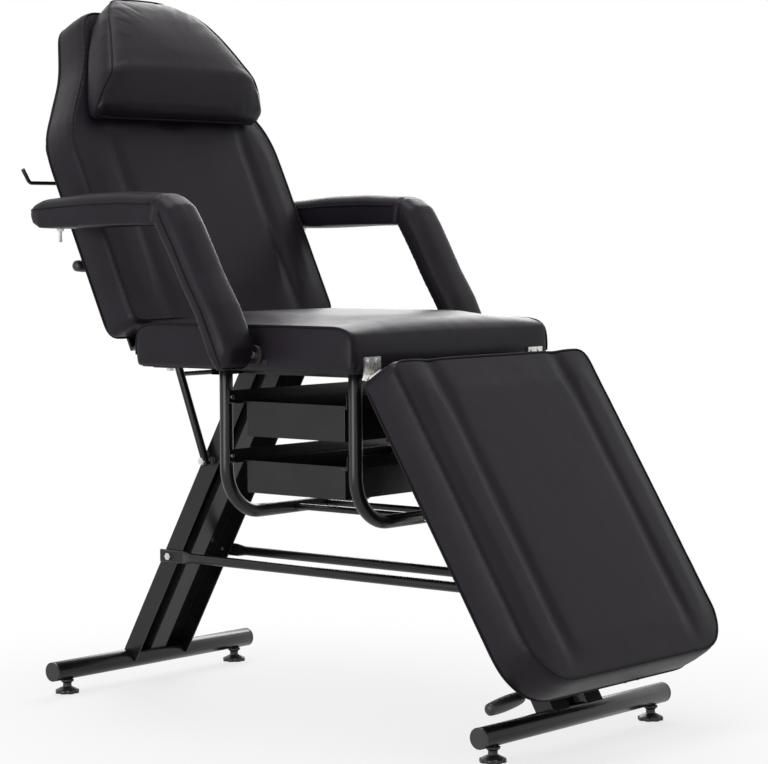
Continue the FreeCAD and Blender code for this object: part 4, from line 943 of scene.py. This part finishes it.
@dataclass
class SlabCushion:
    """A cushion on a board, with an outline, a drawn-in side, a front seam and a low crown."""

    name: str
    node: str
    body: str
    panel: Panel
    corners: Sequence[Corner]
    side: float
    crown: float
    stuffing: Stuffing
    draw: float = 0.006
    board: float = 0.012
    board_reach: float = 0.003
    lift: float = 0.0006
    seed: float = 1.0
    fill: float = 0.75
    side_shares: Sequence[tuple[float, float]] = (
        (0, 0.55), (0.16, 0.12), (0.5, 0), (0.86, 0.25), (1, 1))

    def ring(self, depth: float, inset: float) -> list[Vector]:
        """Returns the outline at a depth, moved inward."""
        return [self.panel.at(depth, a, b) for a, b in outline(self.corners, inset)]

    def seams(self) -> list[tuple[list[Vector], bool]]:
        """Returns the seams and whether each is a closed loop: the front's and the board's."""
        return [(self.ring(self.side, self.draw), True),
                (self.ring(self.board * 0.5, self.draw * 0.4), True)]

    def depths(self, points: np.ndarray) -> tuple[np.ndarray, np.ndarray, np.ndarray]:
        """Returns depth, across and up of points of the chair's frame."""
        return tuple(self.panel.local(points).T)

    def pushed(self, points: np.ndarray, shift: np.ndarray) -> np.ndarray:
        """Moves points outward from the board by an amount each."""
        return points + shift[:, None] * np.array(self.panel.matrix, float)[:3, 0]

    def shell(self) -> Object:
        """Returns the unswollen cushion, a closed form of a few rings."""
        levels = [(self.lift, self.draw * self.side_shares[0][1])]
        levels += [(self.side * rise, self.draw * inset) for rise, inset in self.side_shares[1:]]
        return mesh_object(self.name, *loft([self.ring(*level) for level in levels]))

    def opened(self, item: Object) -> Object:
        """Cuts what passes through the cushion. The plain slab has nothing."""
        return item

    def from_ends(self, up: np.ndarray) -> np.ndarray:
        """Returns the distances to the nearer of the outline's two ends."""
        ups = [c[1] for c in self.corners]
        return np.minimum(up - min(ups), max(ups) - up)

    def held(self, points: np.ndarray) -> np.ndarray:
        """Says which points lie on the board."""
        depth, _, _ = self.depths(points)
        return depth < self.lift + self.board_reach

    def shaped(self, item: Object) -> Object:
        """Leaves the plain slab as it is; the crown, channels and unevenness come in the cushions
        built on it.
        """
        return item

    def settled(self, item: Object) -> Object:
        """Keeps the crown under its height and the board side on the board."""
        points = coordinates(item)
        depth, _, _ = self.depths(points)
        over = np.maximum(depth - (self.side + self.crown - 0.0015), 0)
        under = np.maximum(self.lift - depth, 0)
        move_points(item, self.pushed(points, under - over * 0.75))
        return item

    def build(self, palette: Palette) -> Object:
        """Makes the cushion with its piping.

        Args:
            palette: The chair's finishes.

        Returns:
            The cushion.
        """
        item = evened(self.opened(self.shell()), self.stuffing.voxel)
        seams = [p for seam, closed in self.seams() for p in resampled(seam, SEAM_STEP, closed)]
        item = stuffed(item, self.stuffing, self.held, seams)
        item = covered(self.settled(self.shaped(item)), palette.leather, self.body, (self.node,))
        for number, (seam, closed) in enumerate(self.seams()):
            Bead(f"{self.name}_piping_{number + 1}", seam, item, closed=closed).build(
                palette, self.body)
        return item


@dataclass
class ChannelledCushion(SlabCushion):
    """A slab cushion with two long soft channels that divide it into a middle and two wings."""

    channel_across: float = 0.187
    channel_depth: float = 0.0075
    channel_width: float = 0.020
    channel_ends: tuple[float, float] = (-0.03, 0.47)
    channel_fade: float = 0.13
    wing_rise: float = 0.0030
    shoulder: float = 0.05
    crown_reach: float = 0.11

    def shaped(self, item: Object) -> Object:
        """Adds the crown, the channels and the soft unevenness of the cover."""
        points = coordinates(item)
        depth, across, up = self.depths(points)
        front = ramp(depth, self.side * 0.80, self.side * 0.97)
        low, high = self.channel_ends
        fade = self.channel_fade
        run = ramp(up, low, low + fade) * (1 - ramp(up, high - fade, high))
        outward = np.abs(across) - self.channel_across
        inner = bell(np.minimum(outward, 0), self.channel_width)
        outer = bell(np.maximum(outward, 0), self.channel_width * 0.75)
        groove = -self.channel_depth * inner * outer * run
        wings = self.wing_rise * bell(outward - self.shoulder, self.shoulder * 0.6) * run
        uneven = (rumpled(points, 8, self.seed) * 0.0012
                  + rumpled(points, 26, self.seed + 5) * 0.0003)
        rise = self.crown * 0.6 * self.crown_share(across, up)
        move_points(item, self.pushed(points, front * (groove + wings + uneven + rise)))
        return item

    def crown_share(self, across: np.ndarray, up: np.ndarray) -> np.ndarray:
        """Returns how much of the crown a point has, from the seam inward."""
        half = max(abs(c[0]) for c in self.corners)
        return (ramp(half - np.abs(across), self.draw, self.crown_reach)
                * ramp(self.from_ends(up), self.draw, self.crown_reach))


@dataclass
class BackCushion(ChannelledCushion):
    """The backrest's cushion, with shoulders, a narrower head and a round face hole."""

    hole_up: float = 0.530
    hole_radius: float = 0.075
    hole_play: float = 0.002
    hole_past: float = 0.03
    flare: float = 0.014
    crown_reach: float = 0.10
    rim_reach: float = 0.06

    def opened(self, item: Object) -> Object:
        """Cuts the face hole, which widens at the front."""
        start = self.panel.at(-self.hole_past, 0, self.hole_up)
        narrow, wide = self.hole_radius - self.hole_play, self.hole_radius + self.flare * 1.7
        front = self.hole_past + (self.side + self.crown)
        profile = [(0, narrow), (front - self.flare * 1.6, narrow), (front + self.flare, wide),
                   (front + self.flare * 3, wide)]
        tool = joined("hole_tool", [lathe(profile, start, self.panel.outward, 48)])
        changed(item, "Hole", "BOOLEAN", operation="DIFFERENCE", solver="EXACT", object=tool)
        item = applied(item)
        bpy.data.objects.remove(tool)
        return item

    def from_hole(self, across: np.ndarray, up: np.ndarray) -> np.ndarray:
        """Returns the distances to the face hole's middle."""
        return np.hypot(across, up - self.hole_up)

    def held(self, points: np.ndarray) -> np.ndarray:
        """Says which points lie on the board or line the face hole."""
        depth, across, up = self.depths(points)
        in_hole = self.from_hole(across, up) < self.hole_radius + 0.004
        return super().held(points) | in_hole & (depth < self.side - 0.012)

    def crown_share(self, across: np.ndarray, up: np.ndarray) -> np.ndarray:
        """Returns how much of the crown a point has, from the seam and the hole inward."""
        half = self.corners[:len(self.corners) // 2]
        edge = np.interp(up, [c[1] for c in half], [c[0] for c in half])
        beside = ramp(edge - np.abs(across), self.draw, self.crown_reach)
        ends = ramp(self.from_ends(up), self.draw, self.crown_reach)
        rim = ramp(self.from_hole(across, up), self.hole_radius, self.hole_radius + self.rim_reach)
        return beside * ends * (0.15 + 0.85 * rim)


@dataclass
class SeatCushion(SlabCushion):
    """The seat's cushion, crowned, with piped side panels between a rolled front and rear."""

    corner: float = 0.026
    roll_drop: float = 0.015
    roll_reach: float = 0.055
    seam_inset: float = 0.0035
    seam_foot: float = 0.004

    def seams(self) -> list[tuple[list[Vector], bool]]:
        """Returns the piped edge of both side panels, up the rear, along the top and down."""
        low, high = self.corners[0][1], self.corners[2][1]
        half, top, r = self.corners[1][0], self.side, self.corner
        inset, foot = self.seam_inset, self.seam_foot
        turns = [math.pi / 2 * k / 8 for k in range(1, 8)]
        places = [(foot, high - inset), (top - r, high - inset)]
        places += [(top - r + r * math.sin(turn), high - inset - r + r * math.cos(turn))
                   for turn in turns]
        places += [(top, high - inset - r), (top, low + inset + r)]
        places += [(top - r + r * math.cos(turn), low + inset + r - r * math.sin(turn))
                   for turn in turns]
        places += [(top - r, low + inset), (foot, low + inset)]
        return [([self.panel.at(depth, way * (half - inset), up) for depth, up in places], False)
                for way in SIDES]

    def shaped(self, item: Object) -> Object:
        """Adds the crown and the unevenness of the cover."""
        points = coordinates(item)
        depth, across, up = self.depths(points)
        front = ramp(depth, self.side * 0.75, self.side * 0.97)
        beside = ramp(self.corners[1][0] - np.abs(across), self.draw, 0.16)
        ends = ramp(self.from_ends(up), self.draw, 0.14)
        uneven = (rumpled(points, 9, self.seed) * 0.0014
                  + rumpled(points, 30, self.seed + 5) * 0.0006)
        rise = (self.crown - self.stuffing.swell * 0.5) * beside * ends
        inward = np.clip(self.from_ends(up) / self.roll_reach, 0, 1)
        upper = ramp(depth, self.side * 0.1, self.side * 0.97)
        rolled = -self.roll_drop * (1 - inward) ** 2 * upper
        move_points(item, self.pushed(points, front * (uneven + rise) + rolled))
        return item


@dataclass
class Section:
    """A D-shaped section of a padded form: its base, which way it faces, and its size."""

    base: Vector
    outward: Vector
    half_width: float
    depth: float
    strip: float
    power: float = 3.4

    @property
    def lip(self) -> float:
        """How high the straight strips beside the base are."""
        return min(self.strip, self.depth * 0.3)

    def point(self, across: float, out: float) -> Vector:
        """Returns the point at a share of the half width and a distance from the base."""
        return self.base + Vector((0, across * self.half_width, 0)) + self.outward * out

    def seam(self, way: float, share: float) -> Vector:
        """Returns the point of one side at a share of the depth."""
        rise = max(0.0, share * self.depth - self.lip) / (self.depth - self.lip)
        across = (1 - rise ** self.power) ** (1 / self.power)
        return self.point(way * across, share * self.depth)

    def ring(self) -> list[Vector]:
        """Returns the section's points: a flat base, short strips and a crowned front."""
        made = [self.point(-1 + 2 * k / BASE_STEPS, 0) for k in range(BASE_STEPS + 1)]
        for k in range(CROWN_STEPS + 1):
            turn = math.pi * k / CROWN_STEPS
            cos, sin = math.cos(turn), math.sin(turn)
            across = math.copysign(abs(cos) ** (2 / self.power), cos)
            out = self.lip + (self.depth - self.lip) * abs(sin) ** (2 / self.power)
            made.append(self.point(across, out))
        return made


def leaning(angle: float) -> Vector:
    """Returns the way at an angle in degrees, from the chair's foot end upward."""
    return Vector((math.cos(math.radians(angle)), 0, math.sin(math.radians(angle))))


@dataclass
class Armrest:
    """A padded armrest: a level pad and a leaning post, mitred at the elbow."""

    side: Side
    palette: Palette
    pivot_x: float = REAR_BAR_X + 0.565
    pivot_z: float = 0.686
    middle: float = 0.345
    half_width: float = 0.0445
    depth: float = 0.060
    strip: float = 0.012
    pad_length: float = 0.336
    elbow_back: float = 0.163
    elbow_rise: float = 0.235
    post_reach: float = 0.133
    post_drop: float = 0.256
    elbow_lean: float = 84
    mitre_width: float = 0.0035
    mitre_depth: float = 0.0030
    stuffing: Stuffing = Stuffing(voxel=0.0045, pressure=4.0, cap=0.010, swell=0.0022)
    pad_shares: Sequence[tuple[float, float, float, float]] = (
        (1.025, 0.38, 0.18, 0.62), (0.98, 0.07, 0.66, 0.86), (0.92, -0.07, 0.92, 0.95),
        (0.60, -0.05, 1.05, 1.0), (0.28, 0.0, 1.04, 1.0), (0.10, 0.0, 0.99, 1.0))
    post_shares: Sequence[tuple[float, float, float, float, float]] = (
        (0.06, 0.04, 0.94, 1.0, 58), (0.14, 0.11, 0.88, 1.0, 40), (0.26, 0.21, 0.84, 1.0, 28),
        (0.50, 0.43, 0.83, 1.0, 28), (0.76, 0.65, 0.86, 1.0, 28), (0.94, 0.85, 0.88, 0.99, 28),
        (1.03, 0.96, 0.82, 0.93, 28), (1.09, 1.03, 0.54, 0.76, 28))
    elbow_share: float = 0.97
    pad_seam: float = 0.66
    post_seam: float = 0.40

    @property
    def name(self) -> str:
        """The armrest's body."""
        return "right_armrest" if self.side is Side.RIGHT else "left_armrest"

    @property
    def elbow(self) -> Vector:
        """The elbow's inner corner."""
        return Vector((self.pivot_x - self.elbow_back, self.side.value * self.middle,
                       self.pivot_z + self.elbow_rise))

    def sections(self) -> list[Section]:
        """Returns the sections from the pad's rear end, round the elbow, to the post's foot."""
        rows = [(Vector((-along * self.pad_length, 0, lift * self.depth)), UP, deep, wide)
                for along, lift, deep, wide in self.pad_shares]
        rows.append((Vector(), leaning(self.elbow_lean), self.elbow_share, 1))
        rows += [(Vector((reach * self.post_reach, 0, -drop * self.post_drop)), leaning(angle),
                  deep, wide) for reach, drop, deep, wide, angle in self.post_shares]
        return [Section(self.elbow + shift, outward, self.half_width * wide, self.depth * deep,
                        self.strip) for shift, outward, deep, wide in rows]

    def build(self) -> Object:
        """Makes the padded cover with the piping on the seams of its pad and its post.

        Returns:
            The cover.
        """
        sections = self.sections()
        seams = self.seam_paths(sections)
        item = mesh_object(self.name + "_cover", *loft([part.ring() for part in sections]))
        item = stuffed(evened(item, self.stuffing.voxel, 5), self.stuffing,
                       lambda points: np.zeros(len(points), bool),
                       [p for seam in seams for p in resampled(seam, SEAM_STEP, closed=False)])
        item = covered(self.gathered(item), self.palette.leather, self.name,
                       (self.name + "_pad", self.name + "_post"))
        for number, seam in enumerate(seams[:2]):
            Bead(f"{self.name}_piping_{number + 1}", seam, item, 0.0017, 0.007, False).build(
                self.palette, self.name)
        return item

    def gathered(self, item: Object) -> Object:
        """Draws the cover in along the mitre, with gathers and a soft unevenness.

        Args:
            item: The swollen cover.

        Returns:
            The gathered cover.
        """
        points, elbow = coordinates(item), self.elbow
        mitre = math.radians(self.elbow_lean)
        from_mitre = (points - np.array(elbow)) @ np.array((math.sin(mitre), 0.0, -math.cos(mitre)))
        inward = np.array(elbow + leaning(self.elbow_lean) * self.depth * 0.45) - points
        inward[:, 0] *= abs(math.cos(mitre))
        inward /= np.maximum(np.linalg.norm(inward, axis=1), 1e-9)[:, None]
        near = bell(from_mitre, self.mitre_width) * (np.abs(points[:, 2] - elbow.z) < 0.09)
        gathers = rumpled(points, 26, 3.0 + self.side.value) * bell(from_mitre, 0.05)
        points = points + inward * (near * self.mitre_depth + gathers * 0.0011)[:, None]
        points += inward * (rumpled(points, 14, 8.0) * 0.0007)[:, None]
        move_points(item, points)
        return item

    def seam_paths(self, sections: Sequence[Section]) -> list[list[Vector]]:
        """Returns the seams round the pad and round the post, and the mitre round the elbow."""
        turn = len(self.pad_shares)
        elbow = sections[turn]
        pad = sections[:turn][::-1]
        post = sections[turn + 1:]
        made = []
        for run, share in ((pad, self.pad_seam), (post, self.post_seam)):
            near = [elbow.seam(-1, self.pad_seam)] + [s.seam(-1, share) for s in run]
            far = [elbow.seam(1, self.pad_seam)] + [s.seam(1, share) for s in run]
            made.append(near + far[::-1])
        made.append(elbow.ring())
        return made


@dataclass
class Pillow:
    """The loose wedge pillow over the face hole, with a sewn edge and a folded lower end."""

    palette: Palette
    panel: Panel = BACK
    base: float = 0.0898
    foot: float = 0.425
    length: float = 0.275
    depth: float = 0.080
    half_width: float = 0.232
    strip: float = 0.008
    fold_up: float = 0.074
    stuffing: Stuffing = Stuffing(voxel=0.005, pressure=4.0, cap=0.022, swell=0.0028)
    shares: Sequence[tuple[float, float, float]] = (
        (0.0, 0.12, 0.97), (0.02, 0.46, 0.985), (0.05, 0.66, 1.0), (0.16, 0.86, 0.965),
        (0.25, 0.99, 0.92), (0.29, 1.0, 0.90), (0.45, 0.945, 0.81), (0.60, 0.865, 0.72),
        (0.74, 0.755, 0.62), (0.85, 0.61, 0.50), (0.95, 0.37, 0.34), (0.99, 0.14, 0.20))
    seam_shares: Sequence[float] = (0.40, 0.52, 0.74, 0.85, 0.87, 0.87, 0.87, 0.85, 0.78, 0.60)
    power: float = 7

    def build(self) -> Object:
        """Makes the pillow with its piping.

        Returns:
            The pillow.
        """
        sections = [Section(self.panel.at(self.base, 0, self.foot + along * self.length),
                            self.panel.outward, self.half_width * wide, self.depth * deep,
                            self.strip, self.power) for along, deep, wide in self.shares]
        edge = self.edge(sections)
        item = mesh_object("pillow_cover", *loft([part.ring() for part in sections]))
        item = stuffed(evened(item, self.stuffing.voxel, 6), self.stuffing, self.held,
                       resampled(edge, SEAM_STEP))
        item = covered(self.folded(item), self.palette.leather, "pillow", ("pillow",))
        Bead("pillow_piping", edge, item, 0.0022, 0.008).build(self.palette, "pillow")
        return item

    def folded(self, item: Object) -> Object:
        """Adds the fold over the lower end, the gathered corners and a soft unevenness.

        Args:
            item: The swollen cover.

        Returns:
            The folded cover.
        """
        points = coordinates(item)
        own = self.panel.local(points)
        up = own[:, 2] - self.foot
        out = own[:, 0] - self.base
        front = ramp(out, self.depth * 0.25, self.depth * 0.5)
        fold = bell(up - self.fold_up - 0.006 + 0.05 * (own[:, 1]) ** 2, 0.012)
        corner = bell(np.hypot(np.abs(own[:, 1]) - self.half_width * 0.9, up - 0.02), 0.03)
        gathers = rumpled(points, 42, 12.0) * corner
        uneven = rumpled(points, 8, 4.0)
        own[:, 0] += front * (0.0012 * fold + 0.0022 * gathers + 0.0014 * uneven)
        own[:, 0] = np.maximum(own[:, 0], self.base)
        move_points(item, self.panel.placed(own))
        return item

    def held(self, points: np.ndarray) -> np.ndarray:
        """Says which points lie on the backrest."""
        return self.panel.local(points)[:, 0] < self.base + 0.002

    def edge(self, sections: Sequence[Section]) -> list[Vector]:
        """Returns the seam round the pillow, up one side and down the other."""
        rows = list(zip(sections[1:-1], self.seam_shares))
        right = [section.seam(-1, share) for section, share in rows]
        left = [section.seam(1, share) for section, share in rows]
        return right + left[::-1]


# Frame and fittings
@dataclass(frozen=True)
class Edge:
    """How a material's carried-over pieces are rounded: the bevel's width and steps."""

    width: float
    steps: int = 2
    angle: float = 32
    weld: float = 0.00001


EDGES = {
    Slot.POWDER_COAT: Edge(0.0008),
    Slot.ZINC: Edge(0.0003),
    Slot.BRASS: Edge(0.0003),
    Slot.PLASTIC: Edge(0.0007),
    Slot.BACKING: Edge(0.0012),
}


@dataclass
class Carried:
    """The pieces that come over from the CAD model, with a finish and softened edges."""

    palette: Palette
    nodes: dict[str, Object]
    record: dict

    def dress(self) -> int:
        """Gives every carried-over piece its finish, and softened edges to all but the leather
        ones.

        Returns:
            How many pieces were dressed.
        """
        for row in self.record["subparts"]:
            item = self.nodes[row["node"]]
            slot = Slot(row["material_slot"])
            item.data.materials.clear()
            item.data.materials.append(self.palette.of(slot))
            if slot in EDGES:
                self.soften(item, EDGES[slot])
        return len(self.record["subparts"])

    def soften(self, item: Object, edge: Edge) -> None:
        """Closes the mesh's split edges and rounds its corners by modifiers alone.

        Args:
            item: The piece.
            edge: How round its edges become.
        """
        changed(item, "Closed", "WELD", merge_threshold=edge.weld)
        changed(item, "Soft edge", "BEVEL", width=edge.width, segments=edge.steps,
                limit_method="ANGLE", angle_limit=math.radians(edge.angle),
                harden_normals=True, use_clamp_overlap=True)


@dataclass
class Grips:
    """The turned plastic grips on one or both ends of a release bar."""

    name: str
    body: str
    node: str
    ends: Sequence[tuple[Vector, Vector]]
    palette: Palette
    length: float = 0.095
    full: float = 0.013
    neck: float = 0.009
    end_margin: float = 0.004

    def build(self) -> Object:
        """Makes the grips, which swell between their necks.

        Returns:
            The grips.
        """
        profile = [(0.0, 0.0068), (0.0, self.neck - 0.001), (0.0008, self.neck)]
        for k in range(1, 20):
            share = k / 20
            swell = math.sin(math.pi * share) ** 0.55
            profile.append((share * self.length, self.neck + (self.full - self.neck) * swell))
        profile += [(self.length - self.end_margin * 0.4, self.neck - 0.0012),
                    (self.length - 0.0005, self.neck * 0.6), (self.length, self.neck * 0.2)]
        inner = self.length - self.neck / 2
        parts = [lathe(profile, tip - along.normalized() * inner, along)
                 for tip, along in self.ends]
        item = smooth(joined(self.name, parts), self.palette.plastic)
        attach(item, self.body)
        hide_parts(self.node)
        return item


# Studio
@dataclass(frozen=True)
class Lamp:
    """A soft square lamp: where it hangs, what it faces, its sides' length and its watts."""

    name: str
    place: Sequence[float]
    aim: Sequence[float]
    size: float
    power: float

    def build(self) -> Object:
        """Hangs the lamp, which the camera doesn't see.

        Returns:
            The lamp.
        """
        data = bpy.data.lights.new(self.name, "AREA")
        settle(data, shape="SQUARE", size=self.size, energy=self.power)
        item = bpy.data.objects.new(self.name, data)
        along = Vector(self.aim) - Vector(self.place)
        settle(item, location=self.place, visible_camera=False,
               rotation_euler=along.to_track_quat("-Z", "Y").to_euler())
        bpy.context.scene.collection.objects.link(item)
        return item


@dataclass
class Studio:
    """The photograph's white room: a camera, three soft lamps, a pale floor and a lit world."""

    place: Vector = Vector((3.11805, -3.6346, 0.9015))
    yaw: float = 39.95
    pitch: float = 3.344
    roll: float = -0.328
    lens: float = 118.43
    floor_tone: float = 0.92
    fill: float = 0.27
    shadow_reach: tuple[float, float] = (0.62, 1.35)
    floor_glow: float = 0.75
    floor_reach: float = 14.0
    floor_drop: float = 0.0008
    lamps: Sequence[Lamp] = (
        Lamp("left", (0.0, -3.4, 0.8), (0.1, 0, 0.5), 2.0, 58),
        Lamp("rear", (-1.9, 2.6, 2.2), (0, 0, 0.75), 2.2, 70),
        Lamp("top", (-0.2, -0.3, 3.7), (-0.1, 0, 0.6), 2.2, 52))

    def camera(self) -> Object:
        """Places the camera where the photograph was taken from.

        Returns:
            The camera.
        """
        yaw, pitch, roll = (math.radians(v) for v in (self.yaw, self.pitch, self.roll))
        forward = Vector((-math.sin(yaw) * math.cos(pitch), math.cos(yaw) * math.cos(pitch),
                          -math.sin(pitch)))
        right = Vector((math.cos(yaw), math.sin(yaw), 0))
        up = right.cross(forward)
        turned_right = right * math.cos(roll) + up * math.sin(roll)
        turned_up = up * math.cos(roll) - right * math.sin(roll)
        turn = Matrix((turned_right, turned_up, -forward)).transposed().to_4x4()
        data = bpy.data.cameras.new("camera")
        settle(data, lens=self.lens, sensor_width=36, clip_start=0.1, clip_end=60)
        item = bpy.data.objects.new("camera", data)
        item.matrix_world = Matrix.Translation(self.place) @ turn
        bpy.context.scene.collection.objects.link(item)
        bpy.context.scene.camera = item
        return item

    def world(self) -> None:
        """Lights the scene evenly and shows a white background to the camera."""
        bpy.context.scene.world = bpy.data.worlds.new("room")
        graph = Graph(bpy.context.scene.world)
        soft, white = (graph.feed(graph.add("ShaderNodeBackground"), Color=(1, 1, 1, 1),
                                  Strength=strength) for strength in (self.fill, 1.0))
        graph.close(graph.mixed(graph.shown(), soft, white), "ShaderNodeOutputWorld")

    def floor(self) -> Object:
        """Lays a pale floor under the chair, which keeps its soft shadow.

        Returns:
            The floor.
        """
        corners = [(x * self.floor_reach, y * self.floor_reach, -self.floor_drop)
                   for x, y in ((-1, -1), (1, -1), (1, 1), (-1, 1))]
        item = mesh_object("floor", corners, [[0, 1, 2, 3]])
        graph = Graph(bpy.data.materials.new("pale_floor"))
        pale = graph.feed(
            graph.add("ShaderNodeBsdfPrincipled"), Roughness=0.85, Specular_IOR_Level=0.1,
            Base_Color=graph.tint(graph.noise(1.5, 2), (self.floor_tone * 0.995,) * 3,
                                  (self.floor_tone,) * 3))
        away = graph.add("ShaderNodeVectorMath", operation="LENGTH")
        graph.link(graph.place(), away.inputs[0])
        near, far = self.shadow_reach
        past = graph.feed(graph.add("ShaderNodeMapRange", interpolation_type="SMOOTHSTEP"),
                          Value=away.outputs["Value"], From_Min=near, From_Max=far,
                          To_Min=self.floor_glow)
        share = graph.math("MULTIPLY", past.outputs["Result"], graph.shown())
        white = graph.add("ShaderNodeEmission")
        item.data.materials.append(graph.close(graph.mixed(share, pale, white)))
        return item

    def build(self) -> None:
        """Sets up the camera, the world, the floor and the lamps."""
        bpy.context.scene.view_settings.view_transform = "Standard"
        self.camera()
        self.world()
        self.floor()
        for lamp in self.lamps:
            lamp.build()


# The chair
@dataclass
class Chair:
    """The tattoo chair over its CAD frame."""

    frame: dict
    palette: Palette

    def cushions(self) -> list[SlabCushion]:
        """Returns the seat's, the back's and the leg rest's cushions."""
        soft = Stuffing()
        seat = [(-0.290, -0.24545, 0.012), (0.290, -0.24545, 0.012),
                (0.290, 0.29855, 0.012), (-0.290, 0.29855, 0.012)]
        half = [(0.290, 0.0, 0.018), (0.290, 0.410, 0.150), (0.186, 0.562, 0.300),
                (0.141, 0.680, 0.048)]
        back = half + [(-a, up, r) for a, up, r in half[::-1]]
        rest = [(-0.290, -0.636, 0.090), (0.290, -0.636, 0.090),
                (0.290, 0.0, 0.025), (-0.290, 0.0, 0.025)]
        return [
            SeatCushion("seat_padding", "seat_cushion", "frame", SEAT, seat, 0.084, 0.017,
                        soft, seed=2.0, fill=0.8),
            BackCushion("back_padding", "back_cushion", "backrest", BACK, back, 0.081, 0.008,
                        Stuffing(swell=0.0045), seed=5.0),
            ChannelledCushion("leg_rest_padding", "leg_rest_cushion", "leg_rest", REST, rest,
                              0.082, 0.007, Stuffing(swell=0.0055), seed=9.0,
                              channel_ends=(-0.632, 0.045), channel_fade=0.12),
        ]

    def grips(self) -> list[Grips]:
        """Returns the grips of both release bars."""
        level = [(BACK.at(-0.018, way * 0.286, 0.165), Vector((0, way, 0))) for way in SIDES]
        middle = REST.at(-0.018, 0, -0.609)
        falling = [(middle + Vector((0, -0.316, -0.011)), Vector((0, -0.111, -0.011)))]
        return [
            Grips("back_bar_grips", "back_strut", "back_release_grips", level, self.palette),
            Grips("leg_rest_bar_grip", "leg_rest_strut", "leg_rest_release_grips", falling,
                  self.palette),
        ]

    def build(self) -> None:
        """Builds every piece over the frame, one after the other."""
        carried = Carried(self.palette, self.frame["nodes"], self.frame["record"])
        LOG.info("carried over: %d pieces", carried.dress())
        for cushion in self.cushions():
            cushion.build(self.palette)
        Pillow(self.palette).build()
        for side in Side:
            Armrest(side, self.palette).build()
        for grips in self.grips():
            grips.build()
            LOG.info("built %s", grips.name)


def main() -> None:
    """Builds the chair over its CAD frame, and the studio round it."""
    logging.basicConfig(level=logging.INFO, format="%(message)s")
    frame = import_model()
    Chair(frame, Palette.mix()).build()
    Studio().build()


if __name__ == "__main__":
    main()
